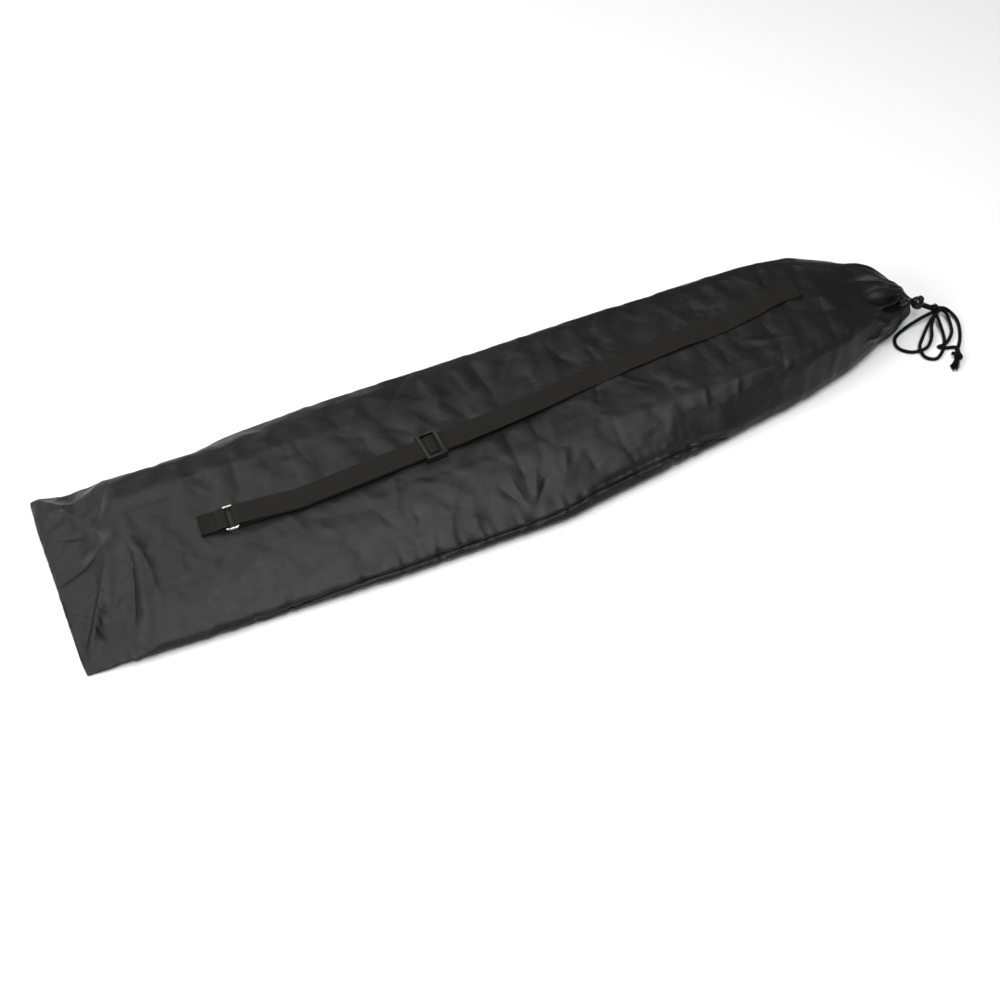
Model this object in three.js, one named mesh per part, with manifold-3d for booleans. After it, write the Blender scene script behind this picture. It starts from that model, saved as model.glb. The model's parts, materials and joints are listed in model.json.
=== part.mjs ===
// A portable pickleball net packed in its drawstring carry bag, lying flat with the strap on top.
//
// Frame: millimetres, +Z up. The origin is on the floor under the middle of the bag. +X runs along the bag
// towards its drawstring mouth, and the sewn side seam is on the -Y edge. "d" is a distance from the bottom
// seam along X, so x = d - BAG_LENGTH / 2.
//
// Inside the bag lie a bundle of frame tubes in two layers, and beside it the rolled net.
import * as THREE from "three";
import { mergeVertices } from "three/addons/utils/BufferGeometryUtils.js";
import Module from "manifold-3d";

// ---- Driving dimensions ---------------------------------------------------------------------------------
const BAG_LENGTH = 1040;      // bottom seam to gathered mouth
const HEM_WIDTH = 254;        // the bag laid flat, at its bottom seam
const FABRIC = 1.2;           // lined polyester, modelled thicker than the cloth
const GAP = 0.3;              // free gap left between pieces that rest on each other
const NECK_START = 790;       // where the loose neck begins
const MOUTH = { y: 0, z: 30, outer: 15, inner: 6.5, depth: 18 };

const WEBBING = { width: 25, thickness: 1.4 };
const ROLL = 6.5;             // degrees: the strap lies on the slope between the tubes and the net roll
const RING = { wire: 1.5, width: 28.5, reach: 13, tilt: 6 };          // wire radius, bar spacing, degrees
const SLIDER = { width: 34, length: 24, rail: 3, bar: 4.2, thickness: 2.2 };
const RING_D = 182;           // the strap ring's bar at the tab
const SLIDER_D = 418;
const STRAP_END_D = 893;      // where the strap's sewn end begins
const STRAP_FOLD = 16;        // length of that end
const TAB_LENGTH = 28;

const CORD = 1.5;             // drawcord radius
const LOCK = { radius: 8, bore: 4.3, plunger: 3.9, travel: 3, fromMouth: 14 };

const TUBE = { outer: 9.5, inner: 8.1, pitch: 20.6, lowerZ: 13.2, upperZ: 34 };
const SPIGOT = { outer: 7.8, inner: 6.4, length: 40 };     // the reduced end that plugs into the next tube
const TUBE_COLUMN_Y = 6;      // the column of tubes nearest the net roll
const KIT_START = 90;         // the packed kit's end nearest the bottom seam
const CROSSBAR = 745;         // four of these span the 3 m net
const UPRIGHT_HALF = 470;
const FOOT_TUBE = 280;
const BUTTON = { radius: 3, hole: 3.4, top: 10.1, fromEnd: 20 };
const NET = { halfWidth: 31, halfHeight: 25, y: 53, z: 28.8, turns: 3.25, layer: 5.2, gap: 2 };

// ---- Materials ------------------------------------------------------------------------------------------
const material = (color, roughness, metalness = 0) =>
  new THREE.MeshStandardMaterial({ color, roughness, metalness });
const CLOTH = material(0x3c3c3c, 0.55);
const WEB = material(0x282622, 0.85);
const CORDING = material(0x101010, 0.9);
const BLACK_PLASTIC = material(0x1c1c1c, 0.45);
const NICKEL = material(0x8a8a88, 0.3, 1);
const STEEL = material(0xb5b7ba, 0.3, 1);
const PAINTED_TUBE = material(0x2b2d30, 0.4, 0.6);
const RUBBER = material(0x151515, 0.9);
const NET_MESH = material(0x1d1f1e, 0.8);
const NET_TAPE = material(0xe6e6e1, 0.6);

// ---- Helpers --------------------------------------------------------------------------------------------
const wasm = await Module();
wasm.setup();
const root = new THREE.Group();
const xOf = (d) => d - BAG_LENGTH / 2;
const vec = (d, y, z) => new THREE.Vector3(xOf(d), y, z);

// A geometry as a manifold-3d solid, with its shared vertices merged.
function solid(geometry) {
  const bare = geometry.index ? geometry.toNonIndexed() : geometry.clone();
  bare.deleteAttribute("uv").deleteAttribute("normal");
  const merged = mergeVertices(bare, 1e-3);
  const vertProperties = merged.attributes.position.array;
  const triVerts = new Uint32Array(merged.index.array);
  return new wasm.Manifold(new wasm.Mesh({ numProp: 3, vertProperties, triVerts }));
}

// A manifold-3d solid as a three.js geometry.
function geometryOf(made) {
  const mesh = made.getMesh();
  const geometry = new THREE.BufferGeometry();
  geometry.setAttribute("position", new THREE.BufferAttribute(new Float32Array(mesh.vertProperties), 3));
  geometry.setIndex(new THREE.BufferAttribute(new Uint32Array(mesh.triVerts), 1));
  geometry.computeVertexNormals();
  return geometry;
}

const union = (...geometries) => geometryOf(geometries.map(solid).reduce((a, b) => a.add(b)));
const cut = (body, ...tools) => geometryOf(tools.map(solid).reduce((a, b) => a.subtract(b), solid(body)));

// Adds a named piece to the scene graph.
function piece(name, geometry, look, parent = root) {
  const mesh = new THREE.Mesh(geometry, look);
  mesh.name = name;
  parent.add(mesh);
  return mesh;
}

// A surface through rings of equal point counts. Open lofts get flat end caps; closed ones join up.
function loft(rings, closed = false) {
  const count = rings[0].length;
  const positions = rings.flat().flatMap((p) => [p.x, p.y, p.z]);
  const faces = [];
  const strips = closed ? rings.length : rings.length - 1;
  for (let i = 0; i < strips; i++) {
    const a = i * count;
    const b = ((i + 1) % rings.length) * count;
    for (let j = 0; j < count; j++) {
      const k = (j + 1) % count;
      faces.push(a + j, b + j, b + k, a + j, b + k, a + k);
    }
  }
  if (!closed) {
    const last = (rings.length - 1) * count;
    for (let j = 1; j < count - 1; j++) {
      faces.push(0, j, j + 1);
      faces.push(last, last + j + 1, last + j);
    }
  }
  const geometry = new THREE.BufferGeometry();
  geometry.setAttribute("position", new THREE.BufferAttribute(new Float32Array(positions), 3));
  geometry.setIndex(faces);
  if (solid(geometry).volume() < 0) geometry.index.array.reverse();
  geometry.computeVertexNormals();
  return geometry;
}

// A flat strip swept along points, its width lying along the matching `across` direction.
function strip(points, acrosses, width, thickness) {
  const rings = points.map((p, i) => {
    const ahead = points[Math.min(i + 1, points.length - 1)];
    const behind = points[Math.max(i - 1, 0)];
    const tangent = ahead.clone().sub(behind).normalize();
    const normal = acrosses[i].clone().cross(tangent).normalize();
    const corner = (w, n) =>
      p.clone().addScaledVector(acrosses[i], (w * width) / 2).addScaledVector(normal, (n * thickness) / 2);
    return [corner(-1, -1), corner(1, -1), corner(1, 1), corner(-1, 1)];
  });
  return loft(rings);
}

// A round cord through points.
function cord(points, segments, radius = CORD, sides = 4) {
  const path = new THREE.CatmullRomCurve3(points);
  const circle = new THREE.Shape().absarc(0, 0, radius, 0, Math.PI * 2);
  return new THREE.ExtrudeGeometry(circle, { steps: segments, curveSegments: sides, extrudePath: path });
}

// A turned piece whose axis is X, from [x, radius] pairs that close on themselves or on the axis.
function turned(profile, sides = 24) {
  const points = profile.map(([x, r]) => new THREE.Vector2(r, x));
  if (points[0].x > 0) points.push(points[0].clone());
  const geometry = new THREE.LatheGeometry(points, sides).rotateZ(-Math.PI / 2);
  return solid(geometry).volume() < 0 ? geometryOf(solid(reversed(geometry))) : geometry;
}

function reversed(geometry) {
  const flipped = geometry.clone();
  flipped.index.array.reverse();
  return flipped;
}

const lerp = THREE.MathUtils.lerp;

function steps(from, to, count) {
  return Array.from({ length: count + 1 }, (_, i) => lerp(from, to, i / count));
}

const points2 = (...pairs) => pairs.map(([x, y]) => new THREE.Vector2(x, y));

// The value at d of a line through [d, value] pairs.
function along(line, d) {
  const next = Math.max(1, line.findIndex(([at]) => at >= d));
  const [[da, a], [db, b]] = [line[next - 1], line[next]];
  return lerp(a, b, (d - da) / (db - da));
}

// ---- The bag's outer shape ------------------------------------------------------------------------------
// Each station gives the section across the bag: the front and back edges, the height of the ridge that runs
// over the tubes, the crest over the net roll, the back shoulder, and how far the underside is off the floor.
const STATIONS = [
  { d: 8, front: -126, back: 126, ridgeY: -70, ridge: 3.2, crestY: 30, crest: 3.6, shoulder: 3.4, under: 0 },
  { d: 42, front: -130, back: 115, ridgeY: -74, ridge: 15, crestY: 34, crest: 26, shoulder: 14, under: 0 },
  { d: 80, front: -132, back: 112, ridgeY: -80, ridge: 38, crestY: 50, crest: 59, shoulder: 38, under: 0 },
  { d: 240, front: -135, back: 112, ridgeY: -74, ridge: 44, crestY: 50, crest: 61, shoulder: 42, under: 0 },
  { d: 330, front: -137, back: 111, ridgeY: -66, ridge: 48, crestY: 52, crest: 62, shoulder: 51, under: 0 },
  { d: 530, front: -135, back: 109, ridgeY: -64, ridge: 49, crestY: 54, crest: 63, shoulder: 59, under: 0 },
  { d: 640, front: -116, back: 110, ridgeY: -64, ridge: 50, crestY: 58, crest: 65, shoulder: 63, under: 0 },
  { d: 790, front: -91, back: 110, ridgeY: -65, ridge: 52, crestY: 60, crest: 67, shoulder: 66, under: 0 },
  { d: 860, front: -78, back: 110, ridgeY: -60, ridge: 51, crestY: 60, crest: 67, shoulder: 67, under: 0 },
  { d: 930, front: -58, back: 106, ridgeY: -44, ridge: 50, crestY: 56, crest: 64, shoulder: 63, under: 0 },
  { d: 970, front: -42, back: 88, ridgeY: -28, ridge: 48, crestY: 42, crest: 59, shoulder: 57, under: 3 },
  { d: 1000, front: -28, back: 73, ridgeY: -16, ridge: 46, crestY: 30, crest: 54, shoulder: 51, under: 8 },
  { d: 1021, front: -18, back: 40, ridgeY: -10, ridge: 43, crestY: 14, crest: 48, shoulder: 44, under: 14 },
];
const EDGE_Z = 9;             // height of the front edge
const TOP_POINTS = 23;
const FLOOR_POINTS = 3;

// The station at distance d, eased between its neighbours.
function stationAt(d) {
  const next = Math.max(1, STATIONS.findIndex((s) => s.d >= d));
  const [a, b] = [STATIONS[next - 1], STATIONS[next]];
  const t = THREE.MathUtils.clamp((d - a.d) / (b.d - a.d), 0, 1);
  return Object.fromEntries(Object.keys(a).map((key) => [key, lerp(a[key], b[key], t)]));
}

// The section at distance d as points in (y, z), from the front bottom over the top to the back bottom.
function section(d) {
  const s = stationAt(d);
  const rise = s.crest - s.under;
  const edge = s.under + Math.min(EDGE_Z, rise / 3);
  const ways = [
    [s.front + 0.8 * (edge - s.under), s.under],
    [s.front, edge],
    [lerp(s.front, s.ridgeY, 0.5), lerp(edge, s.ridge, 0.5) + 0.08 * rise],
    [s.ridgeY, s.ridge],
    [lerp(s.ridgeY, s.crestY, 0.5), lerp(s.ridge, s.crest, 0.5)],
    [s.crestY, s.crest],
    [s.back - 0.2 * rise, s.shoulder],
    [s.back, s.under + 0.45 * (s.shoulder - s.under)],
    [s.back - 0.1 * rise, s.under],
  ].map(([y, z]) => new THREE.Vector3(0, y, z));
  const top = new THREE.CatmullRomCurve3(ways, false, "chordal").getPoints(TOP_POINTS);
  const [first, last] = [top[0], top[top.length - 1]];
  const floor = steps(0, 1, FLOOR_POINTS + 1).slice(1, -1).map((t) => last.clone().lerp(first, t));
  return [...top, ...floor].map((p) => new THREE.Vector2(p.y, Math.max(p.z, s.under)));
}

// The section moved inwards by the fabric's thickness.
function innerSection(d) {
  const outer = section(d);
  const count = outer.length;
  return outer.map((p, i) => {
    const along = outer[(i + 1) % count].clone().sub(outer[(i - 1 + count) % count]).normalize();
    return p.clone().add(new THREE.Vector2(along.y, -along.x).multiplyScalar(FABRIC));
  });
}

const ringAt = (d, points) => points.map((p) => vec(d, p.x, p.y));

// Height of the bag's top at a place.
function topZ(d, y) {
  const points = section(d);
  const crossing = points.findIndex((p, i) => i < TOP_POINTS && p.x <= y && points[i + 1].x >= y && p.y > 5);
  const [a, b] = [points[crossing], points[crossing + 1]];
  return lerp(a.y, b.y, (y - a.x) / (b.x - a.x));
}

// Where the bag's front slope is at a height, above its front edge.
function frontY(d, z) {
  const points = section(d);
  const edge = points.findIndex((p, i) => p.x < points[i + 1].x);
  const above = points.findIndex((p, i) => i > edge && p.y >= z);
  const [a, b] = [points[above - 1], points[above]];
  return Math.min(b.x, lerp(a.x, b.x, THREE.MathUtils.clamp((z - a.y) / (b.y - a.y), 0, 1)));
}

// ---- Bag ------------------------------------------------------------------------------------------------
// Height of the side seam on the front slope, as [d, z].
const SIDE_SEAM = [
  [14, 1.6], [62, 7.5], [135, 9], [220, 13], [300, 17], [500, 18], [560, 21], [680, 21], [750, 13], [786, 11],
];

function buildBag() {
  const bodyRings = [8, 24, 42, 60, 80, 120, 180, 240, 330, 430, 530, 585, 640, 715, NECK_START];
  const cavityRings = bodyRings.slice(2).reverse();
  const outside = bodyRings.map((d) => ringAt(d, section(d)));
  const inside = cavityRings.map((d) => ringAt(d, innerSection(d)));
  piece("bag_body", loft([...outside, ...inside]), CLOTH);

  const neckRings = [NECK_START + GAP, 825, 860, 895, 930, 950, 970, 985, 1000, 1011, 1021];
  const neckOut = neckRings.map((d) => ringAt(d, section(d)));
  const neckIn = neckRings.toReversed().map((d) => ringAt(d, innerSection(d)));
  piece("bag_neck", loft([...neckOut, ...neckIn], true), CLOTH);

  const seam = new THREE.Shape(points2([0, 0.3], [7.5, 0.3], [7.5, 3.1], [2, 3.9], [0, 2.4]));
  const hem = new THREE.ExtrudeGeometry(seam, { depth: HEM_WIDTH, bevelEnabled: false });
  hem.rotateX(Math.PI / 2).translate(xOf(0), HEM_WIDTH / 2, 0);
  piece("bottom_seam", hem, CLOTH);

  // The sewn side seam stands off the front slope as a thin double fold.
  const fold = { width: 2.4, thickness: 1.6 };
  const seamPath = steps(SIDE_SEAM[0][0], SIDE_SEAM.at(-1)[0], 26).map((d) => {
    const z = along(SIDE_SEAM, d);
    return vec(d, frontY(d, z - fold.thickness / 2) - fold.width / 2 - 4 * GAP, z);
  });
  const yAxis = new THREE.Vector3(0, 1, 0);
  piece("side_seam", strip(seamPath, seamPath.map(() => yAxis), fold.width, fold.thickness), CLOTH);

  // The drawstring tunnel: a gathered ring with a channel that opens forwards.
  const { outer, inner, depth } = MOUTH;
  const channel = { low: 8.4, high: 12.6, floor: depth - 9 };
  const tunnel = turned([
    [0, inner], [0, outer - 2], [4, outer], [depth - 2, outer], [depth, outer - 1.2], [depth, channel.high],
    [channel.floor, channel.high], [channel.floor, channel.low], [depth, channel.low], [depth, inner],
  ], 28);
  piece("mouth_tunnel", tunnel, CLOTH).position.set(xOf(BAG_LENGTH - depth), MOUTH.y, MOUTH.z);
}

// ---- Shoulder strap -------------------------------------------------------------------------------------
// One length of webbing: sewn to the bag near the neck, it runs down the bag through the slider, round the
// ring and back through the slider, and its free end lies hidden under it. The line gives [d, y].
const STRAP_LINE = [[150, -23.7], [262, -32.5], [475, -16], [635, 5.5], [768, 18], [820, 25], [930, 46]];
const STRAIGHT = { from: 262, to: 475 };        // the slider travels along this stretch
const LAYER_DROP = WEBBING.thickness + 0.5;     // from the top layer's centre to the lower layer's
const TAIL = 50;                                // free end beyond the slider
const WRAP = RING.wire + 0.65 + WEBBING.thickness / 2;     // radius of the webbing's bend round the ring
const roll = THREE.MathUtils.degToRad(ROLL);

function strapSegment(d) {
  const next = Math.max(1, STRAP_LINE.findIndex(([at]) => at >= d));
  return [STRAP_LINE[next - 1], STRAP_LINE[next]];
}

const strapY = (d) => along(STRAP_LINE, d);

// The strap's own directions at d: level along it, across it with the bag's slope, and out of its face.
function strapAxes(d) {
  const [[da, ya], [db, yb]] = strapSegment(d);
  const ahead = new THREE.Vector3(db - da, yb - ya, 0).normalize();
  const across = new THREE.Vector3(-ahead.y * Math.cos(roll), ahead.x * Math.cos(roll), Math.sin(roll));
  return { ahead, across, out: ahead.clone().cross(across) };
}

// The height at which a rolled strip of the given width would touch the bag.
function restZ(d, width = WEBBING.width) {
  const offsets = steps(-width / 2, width / 2, 4);
  return Math.max(...offsets.map((w) => topZ(d, strapY(d) + w) - w * Math.sin(roll)));
}

const SEWN_LIFT = 2.4;        // the sewn end's centre above the bag
const sliderUnder = LAYER_DROP + WEBBING.thickness / 2 + GAP + SLIDER.thickness;
const straightZ = (d) => restZ(d, SLIDER.width) + sliderUnder + 1.7;
const ringLift = WRAP + WEBBING.thickness / 2 + 2 * GAP;
const ringBar = vec(RING_D, strapY(RING_D), restZ(RING_D, RING.width + 4) + ringLift);
const ringAxes = strapAxes(RING_D);
const ringTilt = THREE.MathUtils.degToRad(RING.tilt);
const nearRing = (origin, ahead, out) =>
  origin.clone().addScaledVector(ringAxes.ahead, ahead).addScaledVector(ringAxes.out, out);
const wrap = (bar, a) => nearRing(bar, WRAP * Math.cos(a), WRAP * Math.sin(a));
const farBar = nearRing(ringBar, RING.reach * Math.cos(ringTilt), RING.reach * Math.sin(ringTilt));

// Height of the top layer's centre.
function strapZ(d) {
  const { from, to } = STRAIGHT;
  const start = RING_D + RING.reach;
  if (d < from) return lerp(farBar.z + WRAP, straightZ(from), (d - start) / (from - start));
  if (d <= to) return lerp(straightZ(from), straightZ(to), (d - from) / (to - from));
  return restZ(d) + lerp(sliderUnder + 1, SEWN_LIFT, Math.min(1, (d - to) / (STRAP_END_D - to)));
}

const strapPoint = (d, drop = 0) => vec(d, strapY(d), strapZ(d) - drop);
const webbing = (name, points, axes) =>
  piece(name, strip(points, axes.map((a) => a.across), WEBBING.width, WEBBING.thickness), WEB);

// Sets a mesh in the strap's directions at a point, pitched up by an angle.
function setOnStrap(mesh, position, { ahead, across, out }, pitch = 0) {
  const x = ahead.clone().multiplyScalar(Math.cos(pitch)).addScaledVector(out, Math.sin(pitch));
  const z = x.clone().cross(across);
  mesh.setRotationFromMatrix(new THREE.Matrix4().makeBasis(x, across, z));
  mesh.position.copy(position);
}

const pitchOf = (a, b) => Math.atan2(b.z - a.z, Math.hypot(b.x - a.x, b.y - a.y));

const STITCH_DEPTH = 0.5;

function buildTab() {
  const tail = { near: -TAB_LENGTH, far: -7 };
  const low = restZ(RING_D - TAB_LENGTH) + 1.3 - ringBar.z;
  const high = low + WEBBING.thickness + 0.4;
  const fold = steps(-Math.PI / 2, Math.PI / 2, 8).map((a) => wrap(ringBar, a));
  const points = [
    nearRing(ringBar, tail.near, low), nearRing(ringBar, tail.far, -WRAP), ...fold,
    nearRing(ringBar, tail.far, -WRAP + LAYER_DROP + 0.6), nearRing(ringBar, tail.near + 1, high),
  ];
  webbing("strap_tab", points, points.map(() => ringAxes));

  // A stitched box with a cross in it.
  const stitchBox = { length: 17, width: 20, thread: 1.2 };
  const rectangle = (inset) => {
    const [x, y] = [stitchBox.length / 2 - inset, stitchBox.width / 2 - inset];
    return points2([-x, -y], [x, -y], [x, y], [-x, y]);
  };
  const outline = new THREE.Shape(rectangle(0));
  outline.holes.push(new THREE.Path(rectangle(stitchBox.thread)));
  const frame = new THREE.ExtrudeGeometry(outline, { depth: STITCH_DEPTH, bevelEnabled: false });
  const reach = Math.hypot(stitchBox.length, stitchBox.width) - 3;
  const diagonal = (turn) =>
    new THREE.BoxGeometry(reach, 1.1, STITCH_DEPTH).rotateZ(turn).translate(0, 0, STITCH_DEPTH / 2);
  const slant = Math.atan2(stitchBox.width, stitchBox.length);
  const stitching = piece("tab_stitching", union(frame, diagonal(slant), diagonal(-slant)), CORDING);
  const [end, bend] = [points[points.length - 1], points[points.length - 2]];
  const middle = end.clone().lerp(bend, 0.52).addScaledVector(ringAxes.out, WEBBING.thickness / 2 + GAP);
  setOnStrap(stitching, middle, ringAxes, pitchOf(end, bend));
}

function buildRing() {
  const [half, corner, reach] = [RING.width / 2, 3, RING.reach];
  const plan = new THREE.Shape();
  plan.absarc(reach - corner, corner - half, corner, -Math.PI / 2, 0);
  plan.absarc(reach - corner, half - corner, corner, 0, Math.PI / 2);
  plan.absarc(corner, half - corner, corner, Math.PI / 2, Math.PI);
  plan.absarc(corner, corner - half, corner, Math.PI, Math.PI * 1.5);
  const path = plan.getPoints(4);
  const sides = 8;
  const wireRings = path.map((p, i) => {
    const before = path[(i - 1 + path.length) % path.length];
    const tangent = path[(i + 1) % path.length].clone().sub(before).normalize();
    return steps(0, Math.PI * 2 * (1 - 1 / sides), sides - 1).map((a) => {
      const out = RING.wire * Math.cos(a);
      return new THREE.Vector3(p.x - tangent.y * out, p.y + tangent.x * out, RING.wire * Math.sin(a));
    });
  });
  setOnStrap(piece("strap_ring", loft(wireRings, true), NICKEL), ringBar, ringAxes, ringTilt);
}

function buildWebbing() {
  const toSlider = [STRAP_END_D, 860, 815, 768, 725, 680, 635, 580, 530, STRAIGHT.to, SLIDER_D];
  const topRun = [...toSlider, 340, STRAIGHT.from, 235, 214];
  const around = steps(Math.PI / 2, (Math.PI * 3) / 2, 8);
  webbing(
    "strap_webbing",
    [...topRun.map((d) => strapPoint(d)), ...around.map((a) => wrap(farBar, a))],
    [...topRun.map(strapAxes), ...around.map(() => ringAxes)],
  );

  const underRun = [235, STRAIGHT.from, 340, SLIDER_D, SLIDER_D + TAIL];
  const first = nearRing(farBar, 1 + GAP, -WRAP);
  const returning = [first, ...underRun.map((d) => strapPoint(d, LAYER_DROP))];
  webbing("strap_return_layer", returning, [ringAxes, ...underRun.map(strapAxes)]);

  const fold = [STRAP_END_D + 4 * GAP, STRAP_END_D + STRAP_FOLD];
  const folded = fold.map((d) => vec(d, strapY(d), restZ(d) + SEWN_LIFT));
  webbing("strap_sewn_end", folded, fold.map(strapAxes));
  const stitching = piece("strap_end_stitching", new THREE.BoxGeometry(8, 20, STITCH_DEPTH), CORDING);
  const axes = strapAxes(fold[0]);
  const stitchLift = (WEBBING.thickness + STITCH_DEPTH) / 2 + GAP;
  const middle = folded[0].clone().lerp(folded[1], 0.5).addScaledVector(axes.out, stitchLift);
  setOnStrap(stitching, middle, axes, pitchOf(...folded));
}

// Three bars: the outer two lie over both layers of webbing, and the middle one under them.
function buildSlider() {
  const over = WEBBING.thickness / 2 + GAP;
  const thick = SLIDER.thickness;
  const railTall = over + thick + sliderUnder;
  const railY = (SLIDER.width - SLIDER.rail) / 2;
  const railZ = over + thick - railTall / 2;
  const rail = (side) =>
    new THREE.BoxGeometry(SLIDER.length, SLIDER.rail, railTall).translate(0, side * railY, railZ);
  const bar = (x, z) => new THREE.BoxGeometry(SLIDER.bar, SLIDER.width - 1, thick).translate(x, 0, z);
  const barX = (SLIDER.length - SLIDER.bar) / 2;
  const outerBars = [-barX, barX].map((x) => bar(x, over + thick / 2));
  const frame = union(rail(-1), rail(1), ...outerBars, bar(0, thick / 2 - sliderUnder));
  const pitch = pitchOf(strapPoint(STRAIGHT.from), strapPoint(STRAIGHT.to));
  setOnStrap(piece("strap_slider", frame, BLACK_PLASTIC), strapPoint(SLIDER_D), strapAxes(SLIDER_D), pitch);
}

// ---- Drawcord and its lock ------------------------------------------------------------------------------
const mouth = vec(BAG_LENGTH, MOUTH.y, MOUTH.z);
const KNOT = vec(1074, -11, 12);
const pull = KNOT.clone().sub(mouth).normalize();
const sideways = new THREE.Vector3(0, 0, 1).cross(pull).normalize();
const STRAND = CORD + GAP / 2;      // half the spacing of the two strands through the lock
const pulled = (distance, side = 0) =>
  mouth.clone().addScaledVector(pull, distance).addScaledVector(sideways, side);

function buildDrawcord() {
  // The loop in the tunnel, with both ends drawn out through the lock.
  const [channelR, channelBack] = [10.5, 6.5];
  const loop = new THREE.TorusGeometry(channelR, CORD, 8, 24).rotateY(Math.PI / 2);
  loop.translate(mouth.x - channelBack, mouth.y, mouth.z);
  const byMouth = (x, y, z = 0) => mouth.clone().add(new THREE.Vector3(x, y, z));
  const exit = (side) => cord([
    byMouth(-channelBack, side * channelR), byMouth(-2, side * channelR), byMouth(1.8, side * 9.4, -0.8),
    pulled(4, side * 4.4), ...[5.8, 12, 20, 27].map((distance) => pulled(distance, side * STRAND)),
  ], 14);
  piece("drawcord_loop", union(loop, exit(1), exit(-1)), CORDING);

  // Lock: a ball with a sprung plunger across the cords. Its X axis follows the cords and Z the plunger.
  const lock = new THREE.Group();
  lock.position.copy(pulled(LOCK.fromMouth));
  const up = new THREE.Vector3().crossVectors(pull, sideways).normalize();
  lock.setRotationFromMatrix(new THREE.Matrix4().makeBasis(pull, sideways, up));
  root.add(lock);
  const slotWide = 2 * (STRAND + CORD) + 1;
  const passage = (tall, z) => new THREE.BoxGeometry(LOCK.radius * 3, slotWide, tall).translate(0, 0, z);
  const boreDepth = LOCK.radius - 1.6;
  const bore = new THREE.CylinderGeometry(LOCK.bore, LOCK.bore, LOCK.radius + boreDepth, 20)
    .rotateX(Math.PI / 2).translate(0, 0, (LOCK.radius - boreDepth) / 2);
  const ball = cut(new THREE.SphereGeometry(LOCK.radius, 18, 12), bore, passage(2 * CORD + 0.8, 0));
  piece("cord_lock_ball", ball, BLACK_PLASTIC, lock);
  const plungerLow = -3.2;
  const plungerTop = LOCK.radius + 1.8;
  const stem = new THREE.CylinderGeometry(LOCK.plunger, LOCK.plunger, plungerTop - plungerLow, 20)
    .rotateX(Math.PI / 2).translate(0, 0, (plungerTop + plungerLow) / 2);
  const pinch = passage(2 * CORD + 0.6 + LOCK.travel, LOCK.travel / 2);
  piece("cord_lock_plunger", cut(stem, pinch), BLACK_PLASTIC, lock);
  const springTurns = 2.5;
  const coilRadius = 2.6;
  const coil = steps(0, 1, 26).map((t) => {
    const a = t * springTurns * Math.PI * 2;
    const z = lerp(-boreDepth + 2 * GAP, plungerLow - 2 * GAP, t);
    return new THREE.Vector3(coilRadius * Math.cos(a), coilRadius * Math.sin(a), z);
  });
  piece("cord_lock_spring", cord(coil, 30, 0.35, 2), STEEL, lock);

  // The bow that ends the cord: two loops and two tails on the floor, the tails held by an end knot.
  const knot = new THREE.SphereGeometry(6.4, 14, 10).scale(1, 0.85, 0.8).translate(KNOT.x, KNOT.y, KNOT.z);
  const leadIn = cord([pulled(31), pulled(34), KNOT.clone()], 4, 2.4);
  const laid = (segments, ...places) => cord(places.map((place) => vec(...place)), segments);
  const leftLoop = laid(
    22, [1070, -14, 11], [1051, -16, 9], [1028, -20, 5], [1010, -28, 2.4], [1004, -43, 2],
    [1015, -56, 2], [1035, -57, 2.6], [1049, -46, 5], [1058, -31, 8], [1071, -17, 11],
  );
  const rightLoop = laid(
    22, [1070, -18, 11], [1053, -30, 9], [1036, -45, 7], [1026, -56, 5.5], [1025, -70, 3],
    [1036, -77, 2], [1051, -68, 2], [1062, -54, 3], [1068, -37, 6], [1072, -18, 11],
  );
  const shortTail = laid(
    20, [1078, -12, 12], [1086, -18, 8], [1083, -34, 4.5], [1075, -49, 4], [1060, -60, 3],
    [1049, -61, 2], [1056, -66, 2], [1067, -70, 2.6], [1063, -80, 4.5],
  );
  const longTail = laid(
    14, [1079, -10, 12], [1090, -13, 8], [1095, -27, 4], [1091, -42, 2.2], [1080, -60, 2.4], [1064, -78, 4.5],
  );
  const endKnot = new THREE.SphereGeometry(6, 12, 8).scale(1.1, 1, 0.75).translate(xOf(1060), -84, 4.8);
  const frayed = cord([vec(1060, -84, 4.5), vec(1053, -92, 3.4), vec(1046, -99, 2.6)], 4, 2.2);
  const cords = [leadIn, leftLoop, rightLoop, shortTail, longTail, frayed];
  piece("drawcord_bow", union(knot, endKnot, ...cords), CORDING);
}

// ---- Packed frame ---------------------------------------------------------------------------------------
const columnY = (n) => TUBE_COLUMN_Y - n * TUBE.pitch;

// A tube along X. The spigot at its far end plugs into the next tube; holes take the next tube's snap button.
const TUBE_SIDES = 14;

function tube(length, spigot) {
  const { outer, inner } = TUBE;
  const end = spigot ? length - SPIGOT.length : length;
  const plain = [[0, inner], [0, outer], [end, outer]];
  const step = end - 4;
  const reduced = [
    [end, SPIGOT.outer], [length, SPIGOT.outer], [length, SPIGOT.inner], [step, SPIGOT.inner], [step, inner],
  ];
  const drill = TUBE.outer + 2;
  const hole = (x) => new THREE.CylinderGeometry(BUTTON.hole, BUTTON.hole, drill, 12)
    .rotateX(Math.PI / 2).translate(x, 0, drill / 2);
  const body = turned([...plain, ...(spigot ? reduced : [[end, inner]])], TUBE_SIDES);
  const holes = spigot ? [BUTTON.fromEnd, length - BUTTON.fromEnd] : [BUTTON.fromEnd];
  return cut(body, ...holes.map(hole));
}

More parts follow.
